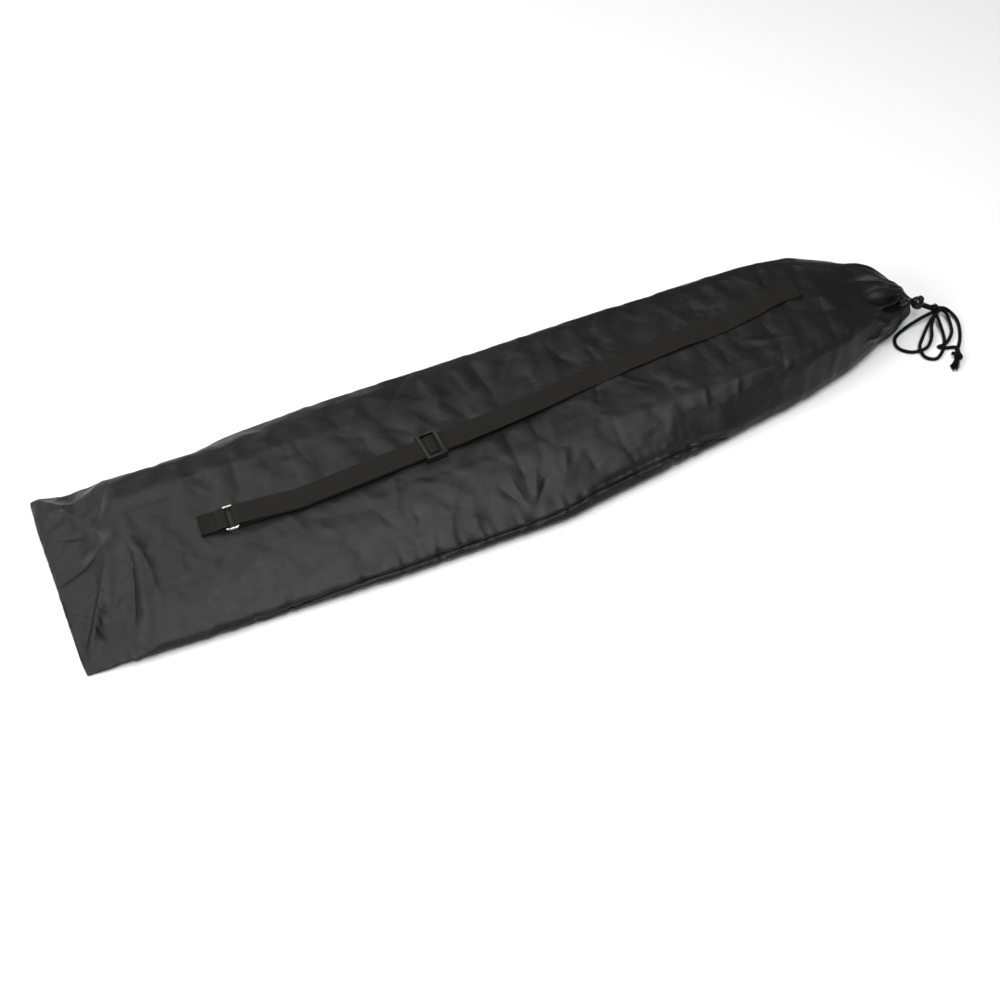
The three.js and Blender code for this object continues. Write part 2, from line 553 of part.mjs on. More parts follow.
// A V of spring steel inside the spigot, with the button riveted on its free leg.
function snapClip() {
  const leaf = new THREE.Shape(
    points2([0, 0], [-26, -1.3], [0, -2.6], [0, -3.4], [-27, -1.7], [-27, -0.9], [0, 0.8]),
  );
  const width = 5;
  const spring = new THREE.ExtrudeGeometry(leaf, { depth: width, bevelEnabled: false });
  spring.rotateX(Math.PI / 2).translate(3, width / 2, 2.6);
  const base = 2.8;
  const button = new THREE.CylinderGeometry(BUTTON.radius - 0.4, BUTTON.radius, BUTTON.top - base, 14)
    .rotateX(Math.PI / 2).translate(0, 0, (BUTTON.top + base) / 2);
  return union(spring, button);
}

// The packing plan: each tube's column (0 is next to the net roll), layer and the d of its near end.
const PLUGGED = CROSSBAR + SPIGOT.length;
const { lowerZ, upperZ } = TUBE;
const CROSSBARS = [
  { column: 0, z: lowerZ, spigot: true },
  { column: 1, z: lowerZ, spigot: true },
  { column: 2, z: lowerZ, spigot: true },
  { column: 0, z: upperZ, spigot: false },
];
const UPRIGHTS = [
  { half: "lower", column: 3, z: lowerZ, d: 265 },
  { half: "lower", column: 4, z: lowerZ, d: 265 },
  { half: "upper", column: 1, z: upperZ, d: KIT_START },
  { half: "upper", column: 2, z: upperZ, d: KIT_START },
];
const FEET = [
  { column: 1, d: 575 },
  { column: 2, d: 575 },
  { column: 3, d: 262 },
  { column: 3, d: 565 },
];
const CONNECTORS = [132, 214];
const BUNDLE_TIES = [330, 690];

function buildTubes() {
  const place = (name, length, d, { column, z, spigot }) =>
    piece(name, tube(length, spigot), PAINTED_TUBE).position.set(xOf(d), columnY(column), z);
  const ends = [];
  CROSSBARS.forEach((bar, i) => {
    place(`crossbar_tube_${i + 1}`, bar.spigot ? PLUGGED : CROSSBAR, KIT_START, bar);
    if (bar.spigot) ends.push({ ...bar, d: KIT_START + PLUGGED });
  });
  UPRIGHTS.forEach((post, i) => {
    const spigot = post.half === "upper";
    place(`upright_${post.half}_tube_${(i % 2) + 1}`, UPRIGHT_HALF, post.d, { ...post, spigot });
    if (spigot) ends.push({ ...post, d: post.d + UPRIGHT_HALF });
  });
  ends.forEach(({ d, column, z }, i) => {
    piece(`snap_clip_${i + 1}`, snapClip(), STEEL).position.set(xOf(d - BUTTON.fromEnd), columnY(column), z);
  });
}

// Feet: short tubes, each with a rubber cap pushed over its outer end.
function buildFeet() {
  const { outer, inner } = TUBE;
  const fit = outer + GAP / 2;
  const [skirt, rim, mouth, face] = [9.9, 8.6, 14, 2.5];
  const cap = turned([
    [-face, 0], [-face, rim], [-face + 1, skirt], [mouth, skirt], [mouth, fit], [-GAP, fit], [-GAP, 0],
  ], TUBE_SIDES);
  const foot = turned([[0, inner], [0, outer], [FOOT_TUBE, outer], [FOOT_TUBE, inner]], TUBE_SIDES);
  FEET.forEach(({ column, d }, i) => {
    const place = [xOf(d), columnY(column), upperZ];
    piece(`foot_tube_${i + 1}`, foot.clone(), PAINTED_TUBE).position.set(...place);
    piece(`foot_cap_${i + 1}`, cap.clone(), RUBBER).position.set(...place);
  });
}

// Post caps: plugs in the tops of the uprights, grooved for the net's corner loops.
function buildPostCaps() {
  const [rim, groove] = [TUBE.outer, 6.5];
  const plug = TUBE.inner - 0.2;
  const postCap = turned([
    [-12, 0], [-12, rim - 0.5], [-9, rim], [-8, groove], [-4, groove], [-3, rim], [-GAP, rim],
    [-GAP, plug], [10, plug - 0.2], [10, 0],
  ], TUBE_SIDES);
  const tops = UPRIGHTS.filter(({ half }) => half === "upper");
  tops.forEach(({ column, z, d }, i) => {
    piece(`post_cap_${i + 1}`, postCap.clone(), BLACK_PLASTIC).position.set(xOf(d), columnY(column), z);
  });
}

// Base connectors: a run that takes two feet, a socket for the upright and a boss for the crossbar.
function buildConnectors() {
  const wall = 12.3;
  const bore = TUBE.outer + 0.4;
  const [runLength, depth] = [78, 20];
  const outside = (length) => new THREE.CylinderGeometry(wall, wall, length, 20);
  const inside = (length) => new THREE.CylinderGeometry(bore, bore, length, 18);
  const run = outside(runLength).rotateZ(Math.PI / 2);
  const socket = outside(depth + 2).translate(0, -(depth + 2) / 2, 0);
  const boss = outside(depth).rotateX(Math.PI / 2).translate(0, 0, depth / 2);
  const runBore = (side) => inside(30).rotateZ(Math.PI / 2).translate(side * 30, 0, 0);
  const socketBore = inside(depth).translate(0, 2 - depth, 0);
  const bossBore = inside(depth).rotateX(Math.PI / 2).translate(0, 0, depth - 2);
  const connector = cut(union(run, socket, boss), runBore(1), runBore(-1), socketBore, bossBore);
  const y = columnY(2) - TUBE.outer - wall - 1.1;
  CONNECTORS.forEach((d, i) => {
    piece(`base_connector_${i + 1}`, connector.clone(), BLACK_PLASTIC).position.set(xOf(d), y, wall + 3.6);
  });
}

// Hook-and-loop ties round the whole bundle.
function buildBundleTies() {
  const band = (offset) => {
    const r = TUBE.outer + offset;
    const [right, left, shoulder] = [columnY(0), columnY(4), columnY(3)];
    const shape = new THREE.Shape();
    shape.absarc(right, lowerZ, r, -Math.PI / 2, 0).absarc(right, upperZ, r, 0, Math.PI / 2);
    shape.absarc(shoulder, upperZ, r, Math.PI / 2, (Math.PI * 3) / 4);
    shape.absarc(left, lowerZ, r, (Math.PI * 3) / 4, Math.PI * 1.5);
    return shape;
  };
  BUNDLE_TIES.forEach((d, i) => {
    const outline = band(2);
    outline.holes.push(new THREE.Path(band(0.6).getPoints(5)));
    const wide = { depth: WEBBING.width, bevelEnabled: false, curveSegments: 5 };
    const tie = new THREE.ExtrudeGeometry(outline, wide);
    tie.rotateX(Math.PI / 2).rotateZ(Math.PI / 2);
    piece(`bundle_tie_${i + 1}`, tie, WEB).position.set(xOf(d), 0, 0);
  });
}

// ---- Rolled net -----------------------------------------------------------------------------------------
function spiral(layer, depth) {
  const perTurn = 12;
  const count = Math.round(NET.turns * perTurn);
  const at = (t, inset) => {
    const angle = t * NET.turns * Math.PI * 2;
    const size = 1 - (1 - t) * NET.turns * ((NET.layer + NET.gap) / NET.halfWidth);
    const r = size - inset / NET.halfWidth;
    return new THREE.Vector2(NET.halfWidth * r * Math.cos(angle), NET.halfHeight * r * Math.sin(angle));
  };
  const outer = steps(0, 1, count).map((t) => at(t, 0));
  const inner = steps(1, 0, count).map((t) => at(t, layer));
  return new THREE.ExtrudeGeometry(new THREE.Shape([...outer, ...inner]), { depth, bevelEnabled: false })
    .rotateX(Math.PI / 2).rotateZ(Math.PI / 2);
}

// The net's three strips, as where each starts along the bag and how wide it is.
const NET_STRIPS = [
  { name: "net_bottom_tape", d: 92, width: 24, look: NET_TAPE, layer: NET.layer - 1 },
  { name: "net_mesh_roll", d: 117, width: 700, look: NET_MESH, layer: NET.layer - 0.6 },
  { name: "net_headband", d: 818, width: 50, look: NET_TAPE, layer: NET.layer },
];
const NET_TIES = [240, 700];

function buildNet() {
  for (const { name, d, width, look, layer } of NET_STRIPS) {
    piece(name, spiral(layer, width), look).position.set(xOf(d), NET.y, NET.z);
  }

  // Ties: bands round the roll, raised a little where its outer layer ends.
  const oval = (grow, bump) => steps(0, Math.PI * 2 * (1 - 1 / 28), 27).map((a) => {
    const raised = bump * Math.exp(-4 * (a - 1.6) ** 2);
    const across = (NET.halfWidth + grow) * Math.cos(a);
    return new THREE.Vector2(across, (NET.halfHeight + grow + raised) * Math.sin(a));
  });
  NET_TIES.forEach((d, i) => {
    const shape = new THREE.Shape(oval(1.6, 0.6));
    shape.holes.push(new THREE.Path(oval(0.4, 0)));
    const tie = new THREE.ExtrudeGeometry(shape, { depth: WEBBING.width, bevelEnabled: false });
    tie.rotateX(Math.PI / 2).rotateZ(Math.PI / 2);
    piece(`net_tie_${i + 1}`, tie, WEB).position.set(xOf(d), NET.y, NET.z);
  });
}

buildBag();
buildTab();
buildRing();
buildWebbing();
buildSlider();
buildDrawcord();
buildTubes();
buildFeet();
buildPostCaps();
buildConnectors();
buildBundleTies();
buildNet();

export default root;
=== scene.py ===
"""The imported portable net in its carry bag: cloth, webbing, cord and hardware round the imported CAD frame."""
import json
import math

import bmesh
import bpy
import numpy as np
from mathutils import Matrix, Vector
from mathutils.bvhtree import BVHTree


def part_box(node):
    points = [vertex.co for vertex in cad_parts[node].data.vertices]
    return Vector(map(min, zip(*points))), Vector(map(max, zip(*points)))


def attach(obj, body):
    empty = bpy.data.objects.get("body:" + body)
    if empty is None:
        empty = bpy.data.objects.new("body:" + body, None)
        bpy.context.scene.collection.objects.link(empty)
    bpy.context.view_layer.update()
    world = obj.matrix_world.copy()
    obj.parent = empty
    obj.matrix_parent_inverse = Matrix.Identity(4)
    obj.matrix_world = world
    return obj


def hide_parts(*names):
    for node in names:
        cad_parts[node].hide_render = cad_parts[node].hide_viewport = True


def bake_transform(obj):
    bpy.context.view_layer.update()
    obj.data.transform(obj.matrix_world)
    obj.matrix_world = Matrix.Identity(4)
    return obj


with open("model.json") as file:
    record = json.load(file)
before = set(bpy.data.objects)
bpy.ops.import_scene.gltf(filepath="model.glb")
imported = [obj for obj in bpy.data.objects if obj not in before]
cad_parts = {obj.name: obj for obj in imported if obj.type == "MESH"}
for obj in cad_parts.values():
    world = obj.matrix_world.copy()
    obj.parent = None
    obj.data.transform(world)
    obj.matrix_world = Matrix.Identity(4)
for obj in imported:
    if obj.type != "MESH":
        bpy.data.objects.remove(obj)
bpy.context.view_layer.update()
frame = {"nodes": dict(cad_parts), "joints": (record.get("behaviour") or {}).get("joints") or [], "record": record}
RECORD = frame["record"]
JOINTS = {j["name"]: j for j in frame["joints"]}
MM = 0.001
TAU = 2 * math.pi

# ---- Places worked out from the frame ----------------------------------------------------------------------
HEM_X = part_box("bottom_seam")[0].x                 # the bag's flat end
MOUTH_LOW, MOUTH_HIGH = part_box("mouth_tunnel")
MOUTH_X = MOUTH_HIGH.x                             # its gathered end
MOUTH_Y = (MOUTH_LOW.y + MOUTH_HIGH.y) / 2
MOUTH_Z = (MOUTH_LOW.z + MOUTH_HIGH.z) / 2


def at(d, y, z=0.0):
    """A place in metres from d, the distance along the bag from its flat end, y and z in millimetres."""
    return Vector((HEM_X + d * MM, y * MM, z * MM))


def along_bag(x):
    """d, in millimetres, of a place at x."""
    return (x - HEM_X) / MM


def smooth(a, b, x):
    """0 up to a, 1 from b, and an eased climb between them."""
    t = np.clip((x - a) / (b - a), 0, 1)
    return t * t * (3 - 2 * t)


# ---- Mesh helpers ------------------------------------------------------------------------------------------
def new_piece(name, verts, faces, material, body, replaces=()):
    """A smooth-shaded mesh that rides on a CAD body and stands for CAD nodes."""
    mesh = bpy.data.meshes.new(name)
    mesh.from_pydata([tuple(v) for v in verts], [], [tuple(f) for f in faces])
    mesh.update()
    obj = bpy.data.objects.new(name, mesh)
    bpy.context.scene.collection.objects.link(obj)
    return dress(obj, material, body, replaces)


def dress(obj, material, body, replaces=()):
    obj.data.materials.clear()
    obj.data.materials.append(material)
    obj.data.polygons.foreach_set("use_smooth", [True] * len(obj.data.polygons))
    if body:
        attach(obj, body)
    if replaces:
        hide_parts(*replaces)
    return obj


def grid_faces(rows, columns, closed=True):
    """Quads over rows of points, the last column joined to the first when closed."""
    faces = []
    for i in range(rows - 1):
        for j in range(columns if closed else columns - 1):
            k = (j + 1) % columns
            faces.append((i * columns + j, i * columns + k, (i + 1) * columns + k, (i + 1) * columns + j))
    return faces


def tube_between(rings):
    """Vertices and faces of a closed tube through equal rings, with a fan at each end."""
    rows, columns = len(rings), len(rings[0])
    verts = [p for ring in rings for p in ring]
    faces = grid_faces(rows, columns)
    for row, flip in ((0, False), (rows - 1, True)):
        ring = rings[row]
        verts.append(sum((Vector(p) for p in ring), Vector()) / columns)
        centre = len(verts) - 1
        for j in range(columns):
            a, b = row * columns + j, row * columns + (j + 1) % columns
            faces.append((centre, b, a) if not flip else (centre, a, b))
    return verts, faces


def outward(obj):
    """Turns every face of a closed mesh outwards."""
    bm = bmesh.new()
    bm.from_mesh(obj.data)
    bmesh.ops.recalc_face_normals(bm, faces=bm.faces)
    if bm.calc_volume(signed=True) < 0:
        bmesh.ops.reverse_faces(bm, faces=bm.faces)
    bm.to_mesh(obj.data)
    bm.free()


def turns(count):
    """Evenly spaced angles once round."""
    return np.linspace(0, TAU, count, endpoint=False)


def run_along(path):
    """How far along a path each of its points lies."""
    return np.r_[0, np.cumsum(np.linalg.norm(np.diff(path, axis=0), axis=1))]


def pick(wanted, lengths, values):
    """Rows of values at the wanted lengths."""
    return np.stack([np.interp(wanted, lengths, column) for column in values.T], axis=1)


def resample(points, count, closed=False):
    """Evenly spaced points along a path of points."""
    path = np.array([tuple(p) for p in points], float)
    if closed:
        path = np.vstack([path, path[:1]])
    lengths = run_along(path)
    wanted = np.linspace(0, lengths[-1], count + 1)[:-1] if closed else np.linspace(0, lengths[-1], count)
    return pick(wanted, lengths, path)


def spline(points, count):
    """An even, rounded path through a few points."""
    pts = [Vector(p) for p in points]
    pts = [pts[0] * 2 - pts[1], *pts, pts[-1] * 2 - pts[-2]]
    path = []
    for p0, p1, p2, p3 in zip(pts, pts[1:], pts[2:], pts[3:]):
        for t in np.linspace(0, 1, 12, endpoint=False):
            path.append(0.5 * ((2 * p1) + (p2 - p0) * t + (2 * p0 - 5 * p1 + 4 * p2 - p3) * t * t
                               + (3 * p1 - p0 - 3 * p2 + p3) * t ** 3))
    path.append(pts[-2])
    return resample(path, count)


def tangents(path):
    steps = np.gradient(path, axis=0)
    return steps / np.linalg.norm(steps, axis=1)[:, None]


# ---- Materials ---------------------------------------------------------------------------------------------
class Shader:
    """A node material built up call by call."""

    def __init__(self, name, **principled):
        self.material = bpy.data.materials.new(name)
        self.material.use_nodes = True
        self.tree = self.material.node_tree
        self.surface = self.tree.nodes["Principled BSDF"]
        for key, value in principled.items():
            self.surface.inputs[key.replace("_", " ")].default_value = value

    def node(self, kind, inputs=None, **settings):
        node = self.tree.nodes.new(kind)
        for key, value in settings.items():
            setattr(node, key, value)
        for key, value in (inputs or {}).items():
            self.put(node.inputs[key], value)
        return node

    def put(self, socket, value):
        if isinstance(value, bpy.types.NodeSocket):
            self.tree.links.new(value, socket)
        else:
            socket.default_value = value

    def math(self, operation, a, b=0.0):
        return self.node("ShaderNodeMath", {0: a, 1: b}, operation=operation).outputs[0]

    def scale(self, vector, factors):
        return self.node("ShaderNodeVectorMath", {0: vector, 1: factors}, operation="MULTIPLY").outputs[0]

    def noise(self, vector, scale, detail=4.0, roughness=0.5):
        return self.node("ShaderNodeTexNoise", {"Vector": vector, "Scale": scale, "Detail": detail,
                                                "Roughness": roughness}).outputs[0]

    def ramp(self, value, low, high, out_low, out_high):
        node = self.node("ShaderNodeMapRange", {0: value, 1: low, 2: high, 3: out_low, 4: out_high})
        return node.outputs[0]

    def blend(self, factor, a, b):
        node = self.node("ShaderNodeMix", data_type="RGBA")
        self.put(node.inputs[0], factor)
        self.put(node.inputs[6], a)
        self.put(node.inputs[7], b)
        return node.outputs[2]

    def split(self, vector):
        return self.node("ShaderNodeSeparateXYZ", {0: vector}).outputs

    def sine(self, place, pitch):
        """A sine wave that repeats every pitch."""
        return self.math("SINE", self.math("MULTIPLY", place, TAU / pitch))

    def colour(self, factor, low, high):
        """The base colour, blended from low to high."""
        self.put(self.surface.inputs["Base Color"], self.blend(factor, (*low, 1), (*high, 1)))

    def rough(self, value):
        self.put(self.surface.inputs["Roughness"], value)

    def bump(self, height, strength, distance, under=None):
        node = self.node("ShaderNodeBump", {"Height": height, "Strength": strength, "Distance": distance})
        if under is not None:
            self.put(node.inputs["Normal"], under)
        self.put(self.surface.inputs["Normal"], node.outputs[0])
        return node.outputs[0]

    def position(self):
        return self.node("ShaderNodeTexCoord").outputs["Object"]

    def weave_place(self):
        return self.node("ShaderNodeUVMap", uv_map="Weave").outputs[0]


def bag_fabric():
    """Black plain-woven polyester: slubby threads both ways, a satin sheen and faint rubbed creases."""
    s = Shader("bag_fabric", Roughness=0.46, Specular_IOR_Level=0.33)
    place = s.weave_place()
    warp = s.noise(s.scale(place, (60.0, 1900.0, 1.0)), 1.0, 2.0)
    weft = s.noise(s.scale(place, (1900.0, 60.0, 1.0)), 1.0, 2.0)
    threads = s.math("ADD", warp, weft)
    lengthwise, round_bag, _ = s.split(place)
    thread_pitch = 0.62 * MM
    weave = s.math("MULTIPLY", s.sine(lengthwise, thread_pitch), s.sine(round_bag, thread_pitch))
    mottle = s.noise(s.position(), 9.0, 5.0, 0.6)
    dust = s.noise(s.position(), 55.0, 6.0, 0.7)
    shade = s.math("ADD", s.ramp(threads, 0.7, 1.3, 0.0, 0.5), s.ramp(mottle, 0.3, 0.7, 0.0, 0.5))
    s.colour(shade, (0.0036, 0.0036, 0.0037), (0.0092, 0.0092, 0.009))
    s.rough(s.math("ADD", s.ramp(dust, 0.3, 0.7, 0.37, 0.47), s.ramp(mottle, 0.3, 0.7, -0.04, 0.05)))
    crumple = s.noise(s.position(), 24.0, 3.0, 0.55)
    crumple.node.noise_type = "RIDGED_MULTIFRACTAL"
    first = s.bump(s.math("ADD", s.math("MULTIPLY", weave, 0.25), threads), 0.42, 0.22 * MM)
    second = s.bump(dust, 0.24, 0.9 * MM, first)
    third = s.bump(crumple, 0.2, 1.1 * MM, second)
    # flat facets that meet in crisp creases
    stray = s.node("ShaderNodeTexNoise", {"Vector": place, "Scale": 14.0, "Detail": 2.0}).outputs["Color"]
    shift = s.scale(stray, (0.05, 0.05, 0.0))
    bent = s.node("ShaderNodeVectorMath", {0: place, 1: shift}, operation="ADD").outputs[0]
    facets = s.node("ShaderNodeTexVoronoi", {"Vector": s.scale(bent, (20.0, 34.0, 0.0)), "Scale": 1.0},
                    feature="F1", voronoi_dimensions="2D").outputs["Distance"]
    s.bump(facets, 0.3, 3.4 * MM, third)
    return s.material


def webbing():
    """Ribbed polypropylene webbing, matt and slightly brown, with painted shade in the grooves between its ribs.
    """
    s = Shader("webbing", Roughness=0.66, Specular_IOR_Level=0.16, Sheen_Weight=0.03)
    place = s.weave_place()
    lengthwise, crosswise, _ = s.split(place)
    rib = s.sine(lengthwise, 2.1 * MM)
    ends = s.sine(crosswise, 1.3 * MM)
    checks = s.math("MULTIPLY", rib, ends)
    fuzz = s.noise(s.scale(place, (900.0, 1500.0, 1.0)), 1.0, 3.0)
    # painted shade: the colour darkens in the grooves between the ribs; the fuzz adds the yarn's own random tone
    rib_shade_and_fuzz = s.math("ADD", s.ramp(rib, -1.0, 1.0, 0.0, 0.6), s.ramp(fuzz, 0.3, 0.7, 0.0, 0.4))
    s.colour(rib_shade_and_fuzz, (0.0036, 0.0034, 0.003), (0.0132, 0.0126, 0.0112))
    s.bump(s.math("ADD", s.math("ADD", rib, s.math("MULTIPLY", checks, 0.7)), fuzz), 0.5, 0.22 * MM)
    return s.material


def cord_fibre():
    """Twisted polyester yarn."""
    s = Shader("cord_fibre", Roughness=0.6, Specular_IOR_Level=0.12)
    fibre = s.noise(s.position(), 1800.0, 3.0, 0.6)
    s.colour(fibre, (0.001, 0.001, 0.001), (0.006, 0.0058, 0.0058))
    s.bump(fibre, 0.35, 0.15 * MM)
    return s.material


def glossy_plastic(name, rough=0.18, grain=0.08):
    s = Shader(name, Roughness=rough, Specular_IOR_Level=0.3)
    flow = s.noise(s.position(), 60.0, 3.0)
    fine = s.noise(s.position(), 2400.0, 3.0)
    s.colour(flow, (0.006, 0.006, 0.006), (0.014, 0.014, 0.014))
    s.rough(s.ramp(fine, 0.3, 0.7, rough * 0.8, rough * 1.5))
    s.bump(s.math("ADD", fine, flow), grain, 0.1 * MM)
    return s.material


def metal(name, low, high, rough):
    s = Shader(name, Metallic=1.0, Roughness=rough)
    cloud = s.noise(s.position(), 120.0, 5.0, 0.65)
    scratch = s.noise(s.scale(s.position(), (300.0, 3000.0, 3000.0)), 1.0, 3.0)
    s.colour(cloud, low, high)
    s.rough(s.ramp(cloud, 0.3, 0.7, rough * 0.7, rough * 1.5))
    s.bump(scratch, 0.06, 0.05 * MM)
    return s.material


def powder_coat():
    s = Shader("powder_coat", Metallic=0.25, Roughness=0.42, Specular_IOR_Level=0.5)
    peel = s.noise(s.position(), 900.0, 2.0)
    wear = s.noise(s.position(), 40.0, 6.0, 0.7)
    s.colour(wear, (0.02, 0.021, 0.024), (0.04, 0.041, 0.045))
    s.rough(s.ramp(wear, 0.3, 0.7, 0.34, 0.5))
    s.bump(peel, 0.12, 0.12 * MM)
    return s.material


def matt(name, low, high, rough, scale):
    s = Shader(name, Roughness=rough, Specular_IOR_Level=0.35)
    grain = s.noise(s.position(), scale, 4.0, 0.6)
    s.colour(grain, low, high)
    s.bump(grain, 0.25, 0.2 * MM)
    return s.material


def net_mesh():
    """Rolled mesh: fine diamonds of twine over the layers beneath, with painted shade in the gaps between the
    twine.
    """
    s = Shader("net_mesh", Roughness=0.8, Specular_IOR_Level=0.2, Sheen_Weight=0.2)
    lengthwise, y, z = s.split(s.position())
    roll_y, roll_z, roll_radius = 53.0 * MM, 28.8 * MM, 28.0 * MM
    turn = s.math("ARCTAN2", s.math("SUBTRACT", z, roll_z), s.math("SUBTRACT", y, roll_y))
    round_roll = s.math("MULTIPLY", turn, roll_radius)
    pitch = 9.0 * MM
    rise = s.sine(s.math("ADD", lengthwise, round_roll), pitch)
    fall = s.sine(s.math("SUBTRACT", lengthwise, round_roll), pitch)
    twine = s.math("MAXIMUM", rise, fall)
    strand = s.ramp(twine, 0.72, 0.95, 0.0, 1.0)
    # painted shade: near black between the twine, where the layers beneath lie in shade
    s.colour(strand, (0.003, 0.003, 0.003), (0.03, 0.032, 0.031))
    s.bump(strand, 0.9, 1.0 * MM)
    return s.material


def tape():
    s = Shader("net_tape", Roughness=0.5, Specular_IOR_Level=0.4)
    grain = s.noise(s.position(), 700.0, 4.0)
    stain = s.noise(s.position(), 25.0, 5.0, 0.6)
    s.colour(stain, (0.70, 0.70, 0.67), (0.80, 0.80, 0.78))
    s.bump(grain, 0.2, 0.15 * MM)
    return s.material


FABRIC = bag_fabric()
WEBBING = webbing()
CORD = cord_fibre()
THREAD = cord_fibre()
PLASTIC = glossy_plastic("gloss_plastic", 0.34)
BALL_PLASTIC = glossy_plastic("ball_plastic", 0.16)
NICKEL = metal("nickel", (0.42, 0.41, 0.39), (0.66, 0.65, 0.62), 0.2)
STEEL = metal("spring_steel", (0.45, 0.45, 0.47), (0.6, 0.6, 0.62), 0.28)
CAD_LOOKS = {
    "coated_tube": powder_coat(),
    "spring_steel": STEEL,
    "rubber_cap": matt("rubber", (0.006, 0.006, 0.006), (0.016, 0.016, 0.016), 0.8, 500.0),
    "moulded_connector": matt("moulded_plastic", (0.01, 0.01, 0.011), (0.02, 0.02, 0.022), 0.5, 1500.0),
    "net_mesh": net_mesh(),
    "net_tape": tape(),
    "webbing": matt("tie_webbing", (0.008, 0.008, 0.008), (0.022, 0.022, 0.021), 0.8, 1200.0),
}


# ---- Bag fabric --------------------------------------------------------------------------------------------
# The cloth is one grid of rows along the bag and columns round it. A place on it is (d, s): d along the bag
# and s, in millimetres, round from its front edge; s is positive over the top and negative underneath.
TOP, UNDER = 88, 32           # columns over the top and underneath
AROUND = TOP + UNDER
ALONG = 236                   # rows along the bag
HEM_D, NECK_END_D = 9.0, 1021.0
LENGTH = (MOUTH_X - HEM_X) / MM
GATHER = 13.5                 # radius of the gathered mouth, mm


class Slices:
    """Sections across CAD nodes."""

    def __init__(self, *names):
        starts, ends = [], []
        for name in names:
            mesh = frame["nodes"][name].data
            places = np.array([v.co for v in mesh.vertices])
            pairs = np.array([e.vertices[:] for e in mesh.edges])
            starts.append(places[pairs[:, 0]])
            ends.append(places[pairs[:, 1]])
        self.a, self.b = np.vstack(starts), np.vstack(ends)

    def chains(self, x):
        """The section's convex outline at x as its lower and upper lines, from the front edge to the back."""
        before, after = self.a[:, 0] - x, self.b[:, 0] - x
        crossing = (before * after < 0)
        a, b = self.a[crossing], self.b[crossing]
        t = (before / (before - after + 1e-15))[crossing]
        points = (a + (b - a) * t[:, None])[:, 1:]
        points = points[np.lexsort((points[:, 1], points[:, 0]))]
        return self.half(points, 1), self.half(points, -1)

    @staticmethod
    def half(points, side):
        line = []
        for p in points:
            while len(line) > 1:
                (ay, az), (by, bz) = line[-2], line[-1]
                if side * ((by - ay) * (p[1] - az) - (bz - az) * (p[0] - ay)) > 0:
                    break
                line.pop()
            line.append(p)
        return np.array(line)


def along_line(line, shares):
    """Points at shares of the length of a line."""
    lengths = run_along(line)
    return pick(np.asarray(shares) * lengths[-1], lengths, line)


def row_places():
    """d of every row: closer together at the flat end and at the gathered neck."""
    share = np.linspace(0, 1, ALONG)
    return LENGTH * (share - 0.075 * np.sin(TAU * share))


def base_shape():
    """Rows of (y, z) of the bag's smooth outer surface, in millimetres."""
    cut = Slices("bag_body", "bag_neck")
    gap = (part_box("bag_body")[1].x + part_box("bag_neck")[0].x) / 2
    places = row_places()
    rows = []
    for d in places:
        x = HEM_X + min(max(d, HEM_D), NECK_END_D - 1) * MM
        if abs(x - gap) < MM:
            x = gap - MM
        lower, upper = cut.chains(x)
        over = along_line(upper, np.linspace(0, 1, TOP + 1)[:-1])
        below = along_line(lower[::-1], np.linspace(0, 1, UNDER + 1)[:-1])
        rows.append(np.vstack([over, below]) / MM)
    surface = np.array(rows)
    for _ in range(5):          # soften the loft's corners along the bag
        surface[1:-1] = 0.5 * surface[1:-1] + 0.25 * (surface[:-2] + surface[2:])
    turn = turns(AROUND)
    # the neck swells a little before it closes, and the flat end's back corner is drawn in
    middle_y = surface[:, :, 0].mean(axis=1, keepdims=True)
    swell = 1 + 0.14 * smooth(978, 1012, places)[:, None]
    surface[:, :, 0] = middle_y + (surface[:, :, 0] - middle_y) * swell
    surface[:, :, 1] *= 1 + (swell - 1) * 0.8
    drawn = (smooth(36, 90, places) * (1 - smooth(165, 240, places)))[:, None]
    drawn = drawn * smooth(70, 112, surface[:, :, 0])
    surface[:, :, 0] -= 7 * drawn
    surface[:, :, 1] *= 1 - 0.15 * drawn
    near_mouth = np.clip((places - NECK_END_D + 12) / (LENGTH - 6 - NECK_END_D + 12), 0, 1)
    closing = (1 - np.sqrt(1 - near_mouth ** 2))[:, None]
    ring_y = MOUTH_Y / MM - GATHER * np.cos(turn)
    ring_z = MOUTH_Z / MM + GATHER * np.sin(turn)
    surface[:, :, 0] += (ring_y - surface[:, :, 0]) * closing
    surface[:, :, 1] += (ring_z - surface[:, :, 1]) * closing
    # the closed end is thin, and its edge rounded
    thin = np.where(places < HEM_D, 0.55 + 0.45 * np.sqrt(np.clip(places / HEM_D, 0, 1)), 1)[:, None]
    surface[:, :, 1] = 1.6 + (surface[:, :, 1] - 1.6) * thin
    return places, surface


def cloth_places(surface):
    """s of every point, and how far round its row each point lies, ending with the whole way round."""
    steps = np.linalg.norm(np.roll(surface, -1, axis=1) - surface, axis=2)
    way_round = np.concatenate([np.zeros((len(surface), 1)), np.cumsum(steps, axis=1)], axis=1)
    s = way_round[:, :-1].copy()
    under = slice(TOP + UNDER // 2, None)
    s[:, under] -= way_round[:, -1:]
    return s, way_round


